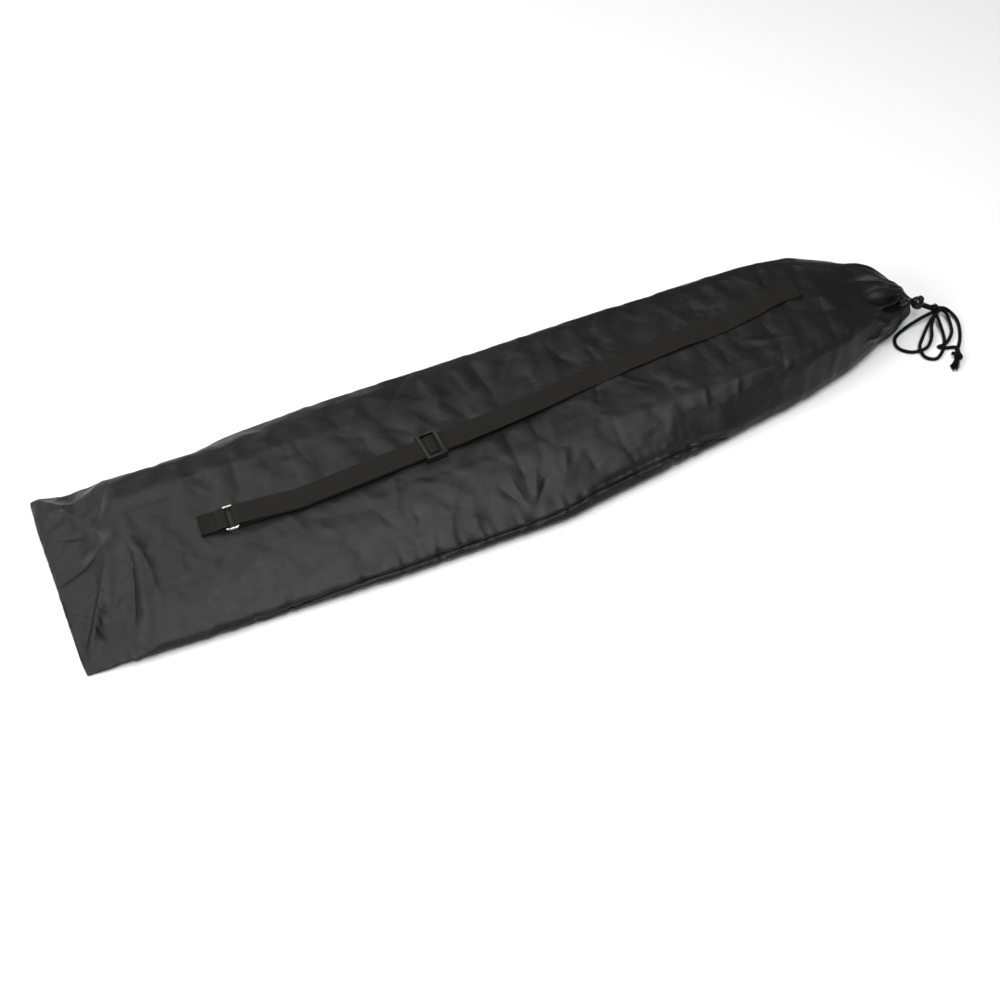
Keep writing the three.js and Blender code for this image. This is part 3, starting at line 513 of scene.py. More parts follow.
class Cloth:
    """The bag's grid, with the means to turn a place on it into (d, s)."""

    def __init__(self):
        self.d, self.surface = base_shape()
        self.s, self.way_round = cloth_places(self.surface)
        self.gather()

    def gather(self):
        """Draws the mouth into pleats, and turns its rim inwards round the hole the cords come out of."""
        turn = turns(AROUND)
        pleats = 0.55 * np.cos(9 * turn + 0.6) + 0.30 * np.cos(14 * turn + 2.0) + 0.15 * np.cos(5 * turn)
        middle = np.array([MOUTH_Y / MM, MOUTH_Z / MM])
        spread = self.surface - self.surface.mean(axis=1)[:, None, :]
        size = np.linalg.norm(spread, axis=2)[:, :, None] + 1e-9
        depth = 2.6 * smooth(952, 1016, self.d)[:, None] * pleats[None, :]
        self.surface += spread / size * depth[:, :, None]
        rim = smooth(LENGTH - 7, LENGTH, self.d)[:, None, None]
        self.surface += (middle + (self.surface - middle) * 0.42 - self.surface) * rim

    def s_at(self, d, y):
        """s of a place on the top, from y."""
        row = int(np.argmin(abs(self.d - d)))
        over = self.surface[row, :TOP + 1]
        rising = np.maximum.accumulate(over[:, 0])
        return float(np.interp(y, rising, self.s[row, :TOP + 1]))

    def s_at_height(self, d, z):
        """s of a place on the front slope, from its height."""
        row = int(np.argmin(abs(self.d - d)))
        over = self.surface[row, :TOP // 3]
        return float(np.interp(z, np.maximum.accumulate(over[:, 1]), self.s[row, :TOP // 3]))

    def build(self):
        rings = []
        for d, row in zip(self.d, self.surface):
            rings.append([at(d, y, z) for y, z in row])
        verts, faces = tube_between(rings)
        bag = new_piece("bag_cloth", verts, faces, FABRIC, "bag",
                        ("bag_body", "bag_neck", "bottom_seam", "mouth_tunnel"))
        outward(bag)
        place = bag.data.attributes.new("place", "FLOAT_VECTOR", "POINT")
        values = np.zeros((len(verts), 3))
        values[:self.s.size, 0] = np.repeat(self.d, AROUND)
        values[:self.s.size, 1] = self.s.ravel()
        values[-2:, 0] = (-20, LENGTH)
        place.data.foreach_set("vector", values.ravel())
        self.weave_map(bag)
        return bag

    def weave_map(self, bag):
        """A UV map in metres: along the bag, and round it from the front edge."""
        uv = bag.data.uv_layers.new(name="Weave")
        rows, columns = len(self.d), AROUND
        values = np.zeros((len(bag.data.loops), 2))
        for polygon in bag.data.polygons:
            on_row = [min(v // columns, rows - 1) for v in polygon.vertices]
            on_column = [v % columns for v in polygon.vertices]
            wraps = max(on_column) - min(on_column) > columns / 2
            for loop, r, c in zip(polygon.loop_indices, on_row, on_column):
                column = columns if wraps and c == 0 else c
                values[loop] = self.d[r] * MM, self.way_round[r, column] * MM
        uv.data.foreach_set("uv", values.ravel())


# Folds on the bag, each as its line of (d, y), a width that sets how far it spreads, and its height: a
# positive height is a ridge and a negative one a crease. The unit is the millimetre.
HEM_FOLDS = [
    ([(66, 10), (58, -18), (42, -48), (26, -80), (14, -106), (4, -132)], 12, 11.0),
    ([(50, -18), (30, -50), (14, -82), (2, -104)], 10, -4.0),
    ([(64, 14), (46, 56), (24, 94), (2, 128)], 13, 6.0),
    ([(58, 8), (42, 4), (20, -2), (-4, -8)], 9, -3.6),
    ([(70, 6), (78, -18), (74, -46), (64, -82), (58, -114)], 10, -4.4),
    ([(70, 8), (88, -22), (94, -56), (88, -90)], 9, 2.2),
    ([(60, 20), (92, 26), (126, 26), (160, 32)], 10, -1.5),
    ([(72, 30), (104, 38), (140, 44), (184, 58)], 11, 1.5),
    ([(56, 26), (66, 50), (84, 72)], 8, -2.0),
    ([(40, 52), (66, 78), (98, 94), (140, 100)], 12, 1.3),
    ([(12, 52), (36, 38), (60, 22)], 7, -1.4),
]
LEFT_FOLDS = [
    ([(213, 62), (211, 25), (208, -2)], 14, -1.5),
    ([(213, -46), (180, -56), (154, -64), (107, -93)], 26, -2.8),
    ([(150, -34), (163, -50), (182, -42)], 10, 1.0),
    ([(124, -23), (130, -38), (126, -59), (121, -73)], 12, 0.8),
    ([(231, -8), (250, 16), (265, 22), (300, 20)], 15, 1.0),
    ([(283, 52), (286, 23), (294, 4)], 12, -1.0),
    ([(357, 30), (356, 4), (362, -12)], 12, -0.9),
    ([(322, -54), (335, -74), (343, -88), (346, -98)], 12, -1.3),
    ([(218, -103), (248, -114), (276, -94), (300, -84)], 16, 1.8),
    ([(160, -95), (190, -88), (215, -70)], 16, 1.1),
    ([(90, -40), (100, -10), (104, 12)], 13, 1.0),
    ([(180, 60), (150, 72), (105, 76)], 16, 1.1),
    ([(240, 70), (262, 45), (270, 30)], 12, 0.8),
    ([(310, 80), (330, 60), (338, 34)], 13, -0.8),
    ([(250, -50), (290, -62), (318, -58)], 15, -1.3),
    ([(262, -62), (285, -80), (280, -100)], 12, 0.9),
    ([(377, 32), (401, 14), (414, 2)], 10, -0.8),
]
MIDDLE_FOLDS = [
    ([(506, 90), (506, 52), (510, 28), (506, 4)], 13, -1.5),
    ([(505, 4), (500, -26), (499, -53), (500, -73), (499, -102), (495, -120)], 13, -2.0),
    ([(478, 76), (482, 46), (484, 28)], 9, -0.9),
    ([(486, 28), (505, 42), (519, 55), (552, 76)], 9, 1.0),
    ([(590, 76), (599, 54), (609, 34), (630, 16)], 11, -1.1),
    ([(635, 54), (637, 35), (640, 18)], 8, -0.8),
    ([(623, -6), (617, -20), (611, -33)], 7, -1.2),
    ([(530, -24), (536, -46), (549, -68)], 12, -1.0),
    ([(495, -121), (488, -107), (484, -78)], 8, 1.4),
    ([(496, -121), (513, -104), (526, -90)], 7, -1.4),
    ([(494, -119), (478, -100), (466, -84)], 8, -1.3),
    ([(503, -110), (512, -86), (520, -72)], 8, 1.1),
    ([(371, -80), (374, -95), (365, -112)], 11, -1.3),
    ([(432, -104), (430, -116), (423, -126)], 9, 1.3),
    ([(400, -84), (408, -100), (402, -116)], 12, 1.1),
    ([(576, -75), (579, -95), (584, -104)], 10, -1.3),
    ([(555, -68), (546, -92)], 9, 0.9),
    ([(648, -84), (665, -82), (682, -80)], 8, -0.8),
    ([(655, -72), (670, -78), (686, -88)], 8, 0.8),
    ([(440, 10), (450, 40), (446, 74)], 16, 0.8),
    ([(560, 20), (566, 44), (590, 60)], 14, 0.8),
    ([(690, -20), (700, -38), (725, -46)], 13, -0.9),
    ([(740, -20), (715, -34), (690, -40)], 12, 0.7),
    ([(735, -50), (731, -64), (728, -76)], 7, 1.0),
    ([(778, -48), (768, -72), (760, -88)], 8, 1.3),
]
RIGHT_FOLDS = [
    ([(877, 88), (872, 62), (870, 50)], 10, -1.0),
    ([(778, 70), (774, 50), (775, 36)], 10, -1.0),
    ([(784, 49), (800, 45), (815, 42)], 8, -0.7),
    ([(838, 10), (841, -6), (841, -20)], 9, -1.0),
    ([(806, -14), (848, -23), (876, -30)], 11, 1.1),
    ([(777, -2), (776, -24), (774, -42)], 9, -1.0),
    ([(843, -28), (838, -48), (831, -65)], 9, -0.9),
    ([(797, 16), (804, -2), (804, -20)], 9, 0.7),
    ([(876, 14), (905, 2), (940, -5)], 10, -1.1),
    ([(896, 28), (926, 15), (960, 0)], 16, 0.8),
]
NECK_FOLDS = [
    ([(900, 86), (930, 70), (959, 58), (990, 49), (1018, 38)], 7, 1.8),
    ([(908, 104), (940, 95), (975, 82), (1003, 66), (1028, 46)], 20, -8.0),
    ([(976, -5), (992, -9), (1010, -10), (1038, -5)], 6.5, -14.0),
    ([(982, -19), (998, -20), (1014, -17), (1036, -8)], 4.5, -9.0),
    ([(974, 2), (994, 5), (1012, 7), (1034, 7)], 6, 3.4),
    ([(972, -26), (990, -29), (1008, -25), (1032, -12)], 4.5, 4.0),
    ([(984, -12), (1000, -14), (1018, -13), (1036, -7)], 2.6, 3.0),
    ([(950, 34), (980, 30), (1008, 24), (1034, 14)], 7, -1.8),
    ([(944, 24), (976, 20), (1008, 18), (1034, 12)], 6, 1.0),
    ([(948, -47), (960, -41), (976, -37), (998, -29), (1024, -15)], 5, 3.6),
    ([(962, -50), (980, -43), (1000, -34), (1026, -18)], 5, -3.0),
]
CLOTH = Cloth()


def tent(distance, width):
    """A fold's section: two slopes that meet in a crisp line."""
    t = np.sqrt((distance / width) ** 2 + 0.004)
    return np.clip(1 - t, 0, 1) ** 2.0


def press_fold(places, height, line, width, rise):
    """Adds one fold to the heights of places (d, s), fading towards the line's ends."""
    low, high = line.min(axis=0) - width, line.max(axis=0) + width
    near = np.flatnonzero(((places > low) & (places < high)).all(axis=1))
    if not len(near):
        return
    points = places[near]
    lengths = run_along(line)
    best = np.full(len(near), np.inf)
    share = np.zeros(len(near))
    for a, b, start in zip(line, line[1:], lengths):
        step = b - a
        reach = np.linalg.norm(step)
        t = np.clip((points - a) @ step / reach ** 2, 0, 1)
        gap = np.linalg.norm(points - a - t[:, None] * step, axis=1)
        closer = gap < best
        best[closer] = gap[closer]
        share[closer] = ((start + t * reach) / lengths[-1])[closer]
    fade = smooth(0, 0.3, share) * (1 - smooth(0.7, 1, share))
    narrow = 1.3 * width * (0.7 + 0.3 * fade)
    height[near] += rise * fade * tent(best, narrow)


def rounded(line, count=14):
    """A smooth line of (d, s) through a few places."""
    if len(line) < 3:
        return np.array(line, float)
    return spline([(d, s, 0) for d, s in line], count)[:, :2]


def press_folds(places, height):
    for line, width, rise in HEM_FOLDS + LEFT_FOLDS + MIDDLE_FOLDS + RIGHT_FOLDS + NECK_FOLDS:
        on_cloth = [(d, CLOTH.s_at(d, y)) for d, y in line]
        press_fold(places, height, rounded(on_cloth), width, rise)


def scatter_creases(places, height, count, seed):
    """Faint, short, nearly straight creases all over, as cloth keeps from being folded away."""
    rng = np.random.default_rng(seed)
    for _ in range(count):
        d, s = rng.uniform(60, 930), rng.uniform(-25, 320)
        reach, turn = rng.uniform(12, 60), rng.normal(1.35, 0.65) * rng.choice((-1, 1))
        step = np.array([math.cos(turn), math.sin(turn)]) * reach
        bend = np.array([-step[1], step[0]]) * rng.uniform(-0.18, 0.18)
        line = np.array([(d, s) - step, (d, s) + bend, (d, s) + step])
        press_fold(places, height, line, rng.uniform(6, 20), rng.choice((-1, 1)) * rng.uniform(0.2, 0.75))


# ---- Cloth simulation --------------------------------------------------------------------------------------
# The cloth is a little larger than the bag's shape, so it buckles.
LOOSE = 0.014                 # how much larger
LAST_FRAME = 20
MOST_BUCKLE = 0.5             # mm


def simulate(bag):
    """Lets the loose cloth settle about its shape, and keeps a limited part of how it moved."""
    hold = bag.vertex_groups.new(name="hold")
    count = len(bag.data.vertices)
    for index in range(count):
        row = min(index // AROUND, ALONG - 1)
        ends = 1 - smooth(0, 10, CLOTH.d[row]) + smooth(1000, 1024, CLOTH.d[row])
        column = index % AROUND
        below = 1.0 if column > TOP + 3 and column < AROUND - 3 else 0.0
        hold.add([index], float(min(1.0, max(0.16, ends, below))), "REPLACE")
    rng = np.random.default_rng(7)
    before = np.empty(count * 3)
    bag.data.vertices.foreach_get("co", before)
    before = before.reshape(-1, 3)
    jitter = before + rng.normal(0, 0.12 * MM, before.shape)
    bag.data.vertices.foreach_set("co", jitter.ravel())
    cloth = bag.modifiers.new("cloth", "CLOTH")
    cloth.settings.quality = 5
    cloth.settings.mass = 0.15
    cloth.settings.tension_stiffness = cloth.settings.compression_stiffness = 18
    cloth.settings.shear_stiffness = 9
    cloth.settings.bending_stiffness = 5.0
    cloth.settings.vertex_group_mass = "hold"
    cloth.settings.pin_stiffness = 0.7
    cloth.settings.shrink_min = -LOOSE
    cloth.settings.effector_weights.gravity = 0
    cloth.collision_settings.use_collision = False
    cloth.point_cache.frame_end = LAST_FRAME
    scene = bpy.context.scene
    for step in range(1, LAST_FRAME + 1):
        scene.frame_set(step)
    settled = bag.evaluated_get(bpy.context.evaluated_depsgraph_get())
    after = np.empty(count * 3)
    settled.data.vertices.foreach_get("co", after)
    moved = after.reshape(-1, 3) - before
    bag.modifiers.clear()
    bag.vertex_groups.clear()
    scene.frame_set(1)
    size = np.linalg.norm(moved, axis=1)[:, None] + 1e-12
    print("cloth moved, mm: mean %.2f, most %.2f" % (size.mean() / MM, size.max() / MM))
    limit = MOST_BUCKLE * MM
    moved *= limit * np.tanh(size / limit) / size
    rows = np.minimum(np.arange(count) // AROUND, ALONG - 1)
    moved *= (1 - 0.8 * smooth(915, 985, CLOTH.d[rows]))[:, None]
    bag.data.vertices.foreach_set("co", (before + moved).ravel())
    bag.data.update()


def refine(obj, levels):
    """Subdivides a piece for good."""
    smoothing = obj.modifiers.new("smoothing", "SUBSURF")
    smoothing.levels = smoothing.render_levels = levels
    fine = bpy.data.meshes.new_from_object(obj.evaluated_get(bpy.context.evaluated_depsgraph_get()))
    obj.modifiers.clear()
    obj.data = fine


# the side seam's height on the front slope, as two matching lists of d and z
SEAM_LINE = [14, 62, 135, 220, 300, 500, 560, 680, 750, 790], [2, 8, 9, 13, 17, 18, 21, 21, 12, 10]


def seam_place(d):
    """s of the side seam at d."""
    return CLOTH.s_at_height(d, np.interp(d, *SEAM_LINE))


SEAM_D = np.linspace(20, 785, 60)
SEAM_S = np.array([seam_place(d) for d in SEAM_D])


# where the seam is drawn in hard, and how far each dimple reaches
PUCKERS = (179, 5), (296, 4), (381, 5), (421, 6), (495, 8), (552, 5)


def sew_side(places, height):
    """The side seam: the top panel laps over the lower one, and the thread draws both into small puckers."""
    d, s = places[:, 0], places[:, 1]
    offset = s - np.interp(d, SEAM_D, SEAM_S)
    on = smooth(20, 40, d) * (1 - smooth(700, 785, d)) * (abs(offset) < 40)
    lap = 1.3 * np.exp(-np.clip(offset, 0, None) / 7.0) * (offset > 0)
    groove = -2.4 * np.exp(-(offset / 1.5) ** 2)
    lower = -0.9 * np.exp(-np.clip(-offset, 0, None) / 5.0) * (offset <= 0)
    rng = np.random.default_rng(3)
    knots = np.arange(0, LENGTH, 6.0)
    draw = np.interp(d, knots, rng.normal(0, 1, len(knots)))
    pucker = 0.8 * draw * np.exp(-(abs(offset) / 9.0))
    height += on * (lap + groove + lower + pucker)
    for knot, reach in PUCKERS:
        height -= 2.2 * np.exp(-((d - knot) ** 2 + (offset - 1) ** 2) / reach ** 2)
    deep = smooth(555, 600, d) * (1 - smooth(715, 760, d)) * (abs(offset) < 30)
    height -= 2.8 * deep * np.exp(-((offset - 4) / 5.0) ** 2)


def sew_hem(places, height):
    """The bottom seam: a shallow groove along its line of stitches, and an edge that waves a little."""
    d, s = places[:, 0], places[:, 1]
    height -= 0.25 * np.exp(-((d - HEM_D) / 1.6) ** 2) * (s > -5)
    height += 0.8 * np.exp(-(d / 7.0) ** 2) * (np.sin(s / 5.3) * np.sin(s / 13.0) + 0.6 * np.sin(s / 21.0))


PEAK_TOP = (59, 20), (60, 20.5)
PEAK_WIDTH, PEAK_RISE = 22, 7.0


def raise_peak(places, height):
    middle = np.mean([(d, CLOTH.s_at(d, y)) for d, y in PEAK_TOP], axis=0)
    height += PEAK_RISE * tent(np.linalg.norm(places - middle, axis=1), PEAK_WIDTH) ** 1.3


def press(bag):
    """Adds every fold and seam to the subdivided cloth."""
    mesh = bag.data
    count = len(mesh.vertices)
    places = np.empty(count * 3)
    mesh.attributes["place"].data.foreach_get("vector", places)
    places = places.reshape(-1, 3)[:, :2]
    normals = np.empty(count * 3)
    mesh.vertex_normals.foreach_get("vector", normals)
    normals = normals.reshape(-1, 3)
    co = np.empty(count * 3)
    mesh.vertices.foreach_get("co", co)
    co = co.reshape(-1, 3)
    height = np.zeros(count)
    press_folds(places, height)
    scatter_creases(places, height, 300, 11)
    raise_peak(places, height)
    sew_side(places, height)
    sew_hem(places, height)
    co += normals * height[:, None] * MM
    # nothing goes through the floor
    co[:, 2] = np.maximum(co[:, 2], 0.0)
    mesh.vertices.foreach_set("co", co.ravel())
    mesh.update()


bag = CLOTH.build()
simulate(bag)
refine(bag, 2)
press(bag)
BAG_TREE = BVHTree.FromObject(bag, bpy.context.evaluated_depsgraph_get())


def bag_top(x, y):
    """Height of the finished cloth under a place."""
    hit = BAG_TREE.ray_cast(Vector((x, y, 0.3)), Vector((0, 0, -1)))[0]
    return hit.z if hit is not None else 0.0


# ---- Stitching ---------------------------------------------------------------------------------------------
def stitch_row(path, normals, pitch=3.4, length=2.3, radius=0.32):
    """Vertices and faces of a row of short, half-sunk threads along a path, all in millimetres."""
    path, normals = np.asarray(path, float), np.asarray(normals, float)
    lengths = run_along(path)

    def sample(values, at_length):
        return np.array([np.interp(at_length, lengths, values[:, k]) for k in range(3)])

    verts, faces = [], []
    sides = 6
    for start in np.arange(0, lengths[-1] - length, pitch):
        shape = ((0.0, -0.6, 0.5), (0.18, 0.25, 1.0), (0.5, 0.45, 1.1), (0.82, 0.25, 1.0), (1.0, -0.6, 0.5))
        first = len(verts)
        for share, lift, size in shape:
            centre = sample(path, start + share * length)
            normal = sample(normals, start + share * length)
            normal /= np.linalg.norm(normal)
            ahead = sample(path, start + length) - sample(path, start)
            across = np.cross(normal, ahead)
            across /= np.linalg.norm(across)
            for turn in turns(sides):
                spoke = across * math.cos(turn) + normal * math.sin(turn)
                verts.append((centre + normal * lift * radius * 1.6 + spoke * radius * size) * MM)
        for ring in range(len(shape) - 1):
            for j in range(sides):
                k = (j + 1) % sides
                a, b = first + ring * sides, first + (ring + 1) * sides
                faces.append((a + j, a + k, b + k, b + j))
        faces.append([first + j for j in range(sides)][::-1])
        faces.append([first + (len(shape) - 1) * sides + j for j in range(sides)])
    return verts, faces


def merged(parts):
    """One vertex and face list from several."""
    verts, faces = [], []
    for more_verts, more_faces in parts:
        start = len(verts)
        verts += list(more_verts)
        faces += [[start + i for i in face] for face in more_faces]
    return verts, faces


def build_bag_stitching():
    """Thread along the side seam, laid on the finished cloth."""
    path, normals = [], []
    for d in np.linspace(24, 742, 420):
        height = np.interp(d, *SEAM_LINE)
        hit, normal, _, _ = BAG_TREE.ray_cast(at(d, -400, height), Vector((0, 1, 0)))
        if hit is not None and hit.y < 0:
            path.append(np.array(hit) / MM)
            normals.append(normal)
    verts, faces = stitch_row(path, normals)
    new_piece("bag_stitching", verts, faces, THREAD, "bag", ("side_seam",))


# ---- Shoulder strap ----------------------------------------------------------------------------------------
WEB_WIDTH = 25.0
WEB_THICK = 1.5
RIB = 2.1                     # pitch of the webbing's ribs, mm
RING_POS = Vector(JOINTS["ring_tilt"]["pos_m"])
RING_AXIS = -Vector(JOINTS["ring_tilt"]["axis"]).normalized()
RING_AHEAD = Vector((RING_AXIS.y, -RING_AXIS.x, 0)).normalized()
RING_OUT = RING_AHEAD.cross(RING_AXIS)
RING_REACH = 13.0
RING_TILT = math.radians(6)
RING_WIDTH = 28.5
WIRE = 1.5
WRAP = 3.15                   # radius of the webbing's middle round the wire
SEWN_FROM = along_bag(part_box("strap_sewn_end")[0].x)
SEWN_TO = along_bag(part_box("strap_sewn_end")[1].x) - 7
JOIN_D = 500.0                # where the strap's two lengths meet


def near_ring(bar, ahead, out, across=0.0):
    return bar + (RING_AHEAD * ahead + RING_OUT * out + RING_AXIS * across) * MM


FAR_BAR = near_ring(RING_POS, RING_REACH * math.cos(RING_TILT), RING_REACH * math.sin(RING_TILT))


class Webbing:
    """A length of webbing as stations: a middle, a direction across and a normal at each."""

    def __init__(self):
        self.middle, self.across, self.normal = [], [], []

    def add(self, middle, across, normal):
        self.middle.append(np.array(middle))
        self.across.append(np.array(across))
        self.normal.append(np.array(normal))

    def even(self, spacing):
        """Evenly spaced stations, interpolated between the given ones, each face turned the way of the given
        normal.
        """
        middle, across = np.array(self.middle), np.array(self.across)
        lengths = run_along(middle)
        count = int(lengths[-1] / (spacing * MM)) + 1
        wanted = np.linspace(0, lengths[-1], count)
        middle, across, normal = (pick(wanted, lengths, v) for v in (middle, across, np.array(self.normal)))
        across /= np.linalg.norm(across, axis=1)[:, None]
        ahead = tangents(middle)
        face = np.cross(ahead, across)
        face *= np.sign(np.sum(face * normal, axis=1))[:, None]
        face /= np.linalg.norm(face, axis=1)[:, None]
        return wanted / MM, middle, across, face

    def mesh(self, phase, width):
        """Vertices, faces and weave places of the webbing, its ribs standing out of both faces."""
        run, middle, across, face = self.even(0.5)
        shares = np.array([-1, -0.97, -0.86, -0.6, -0.3, 0, 0.3, 0.6, 0.86, 0.97, 1])
        thick = np.array([0.35, 0.72, 1, 1, 1, 1, 1, 1, 1, 0.72, 0.35])
        rib = 0.2 * np.cos(TAU * (run + phase) / RIB)
        verts, places = [], []
        for i, r in enumerate(run):
            edge = 1 + 0.006 * math.cos(TAU * (r + phase) / RIB)
            for side in (1, -1):
                order = range(len(shares)) if side == 1 else range(len(shares) - 1, -1, -1)
                for j in order:
                    lift = side * (WEB_THICK / 2 * thick[j] + (rib[i] if abs(shares[j]) < 0.95 else 0))
                    point = middle[i] + across[i] * (shares[j] * edge * width / 2 * MM) + face[i] * lift * MM
                    verts.append(point)
                    places.append(((r + phase) * MM, shares[j] * width / 2 * MM))
        columns = 2 * len(shares)
        faces = grid_faces(len(run), columns)
        faces.append(list(range(columns))[::-1])
        faces.append([(len(run) - 1) * columns + j for j in range(columns)])
        return verts, faces, places


def webbing_piece(name, web, body, replaces=(), phase=0.0, width=WEB_WIDTH):
    verts, faces, places = web.mesh(phase, width)
    obj = new_piece(name, verts, faces, WEBBING, body, replaces)
    uv = obj.data.uv_layers.new(name="Weave")
    values = np.array([places[loop.vertex_index] for loop in obj.data.loops])
    uv.data.foreach_set("uv", values.ravel())
    outward(obj)
    return obj


def flat_section(cut, x):
    """Middle of a flat strip's section at x, and the direction across it."""
    line = cut.chains(x)[0]
    edges = np.diff(line, axis=0)
    longest = edges[np.argmax(np.linalg.norm(edges, axis=1))]
    return np.r_[x, (line[0] + line[-1]) / 2], np.r_[0, longest / np.linalg.norm(longest)]


def strap_sections():
    """Middle and direction across of the top layer along the bag, read from the CAD webbing."""
    cut = Slices("strap_webbing")
    return {d: flat_section(cut, HEM_X + d * MM) for d in np.arange(218, SEWN_FROM - 2, 4.0)}


def wave(d):
    """A slight lengthwise ripple that webbing keeps from being rolled up, in millimetres."""
    return 1.1 * math.sin(d / 27.0) + 0.5 * math.sin(d / 11.7 + 1.0)


def strap_station(sections, d):
    """The webbing's place at d, lifted clear of the finished cloth."""
    keys = sorted(sections)
    d_in = min(max(d, keys[0]), keys[-1])
    x = HEM_X + d * MM
    middle = np.array([np.interp(d_in, keys, [sections[k][0][i] for k in keys]) for i in range(3)])
    across = np.array([np.interp(d_in, keys, [sections[k][1][i] for k in keys]) for i in range(3)])
    middle[0] = x
    across /= np.linalg.norm(across)
    if d > 500:                 # beyond the slider's travel the strap lies on the cloth
        cloth = max(bag_top(x, middle[1] + w * WEB_WIDTH / 2 * MM) - across[2] * w * WEB_WIDTH / 2 * MM
                    for w in (-1, -0.5, 0, 0.5, 1))
        rest = smooth(500, 640, d)
        target = cloth + (WEB_THICK / 2 + 0.5) * MM
        middle[2] += (target - middle[2]) * rest if target < middle[2] else target - middle[2]
    loose = smooth(470, 540, d) * (1 - smooth(860, 890, d)) * MM
    middle[2] += (wave(d) + 1.0) * loose
    middle[1] += 1.6 * math.sin(d / 47.0) * loose
    return middle, across


def build_strap():
    sections = strap_sections()
    upper, lower = Webbing(), Webbing()
    up = (0, 0, 1)
    for d in np.arange(SEWN_FROM, JOIN_D - 0.1, -6.0):
        upper.add(*strap_station(sections, d), up)
    upper.add(*strap_station(sections, JOIN_D), up)
    for d in np.arange(JOIN_D, 219, -6.0):
        lower.add(*strap_station(sections, d), up)
    for angle in np.linspace(math.radians(78), math.radians(268), 22):
        place = near_ring(FAR_BAR, WRAP * math.cos(angle), WRAP * math.sin(angle))
        normal = RING_AHEAD * math.cos(angle) + RING_OUT * math.sin(angle)
        lower.add(place, RING_AXIS, normal)
    length = sum(np.linalg.norm(np.diff(np.array(upper.middle), axis=0), axis=1)) / MM
    top = webbing_piece("strap_upper_length", upper, None, ("strap_webbing",))
    bottom = webbing_piece("strap_lower_length", lower, None, ("strap_webbing",), phase=length % RIB)
    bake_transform(top)
    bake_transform(bottom)

    cut = Slices("strap_return_layer")
    tail = Webbing()
    tail.add(near_ring(FAR_BAR, 0.6, -WRAP), RING_AXIS, RING_OUT)
    low_d, high_d = (along_bag(corner.x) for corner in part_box("strap_return_layer"))
    for d in np.arange(low_d + 14, high_d - 2, 6.0):
        tail.add(*flat_section(cut, HEM_X + d * MM), up)
    under = webbing_piece("strap_return", tail, None, ("strap_return_layer",))
    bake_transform(under)
    return sections


def build_sewn_end(sections):
    """The strap's end, folded under itself and sewn down through the bag."""
    web = Webbing()
    first_middle, across = strap_station(sections, SEWN_FROM)
    ahead = np.cross(across, (0, 0, 1))
    ahead /= np.linalg.norm(ahead)
    if ahead[0] < 0:
        ahead = -ahead
    for step in np.linspace(0, SEWN_TO - SEWN_FROM, 7):
        middle = first_middle + ahead * step * MM
        cloth = max(bag_top(middle[0], middle[1] + w * MM) - across[2] * w * MM for w in (-11, 0, 11))
        settled = smooth(0, 8, step)
        middle[2] = (cloth + 2.9 * MM) * settled + first_middle[2] * (1 - settled)
        web.add(middle, across, (0, 0, 1))
    edge = web.middle[-1].copy()
    normal = np.cross(ahead, across)
    for angle in np.linspace(math.radians(60), math.radians(-90), 9):
        place = edge + ahead * 0.85 * math.cos(angle) * MM + normal * (0.85 * math.sin(angle) - 0.85) * MM
        web.add(place, across, ahead * math.cos(angle) + normal * math.sin(angle))
    for step in (2, 6, 11, 15):
        place = edge - ahead * step * MM - normal * 1.72 * MM
        web.add(place, across, -normal)
    webbing_piece("strap_end", web, "bag", ("strap_sewn_end",))
    middles = np.array(web.middle[:7])
    corners = []
    inset = WEB_WIDTH / 2 - 2.5
    for a, b in ((1.5, -inset), (14.5, -inset), (14.5, inset), (1.5, inset), (1.5, -inset), (14.5, inset)):
        share = a / (SEWN_TO - SEWN_FROM) * 6
        middle = np.array([np.interp(share, range(7), middles[:, k]) for k in range(3)])
        corners.append((middle + across * b * MM + normal * (WEB_THICK / 2 + 0.05) * MM) / MM)
    rows = [stitch_row([a, b], [normal, normal], 2.6, 2.0, 0.3) for a, b in zip(corners, corners[1:])]
    verts, faces = merged(rows)
    new_piece("strap_end_thread", verts, faces, THREAD, "bag", ("strap_end_stitching",))


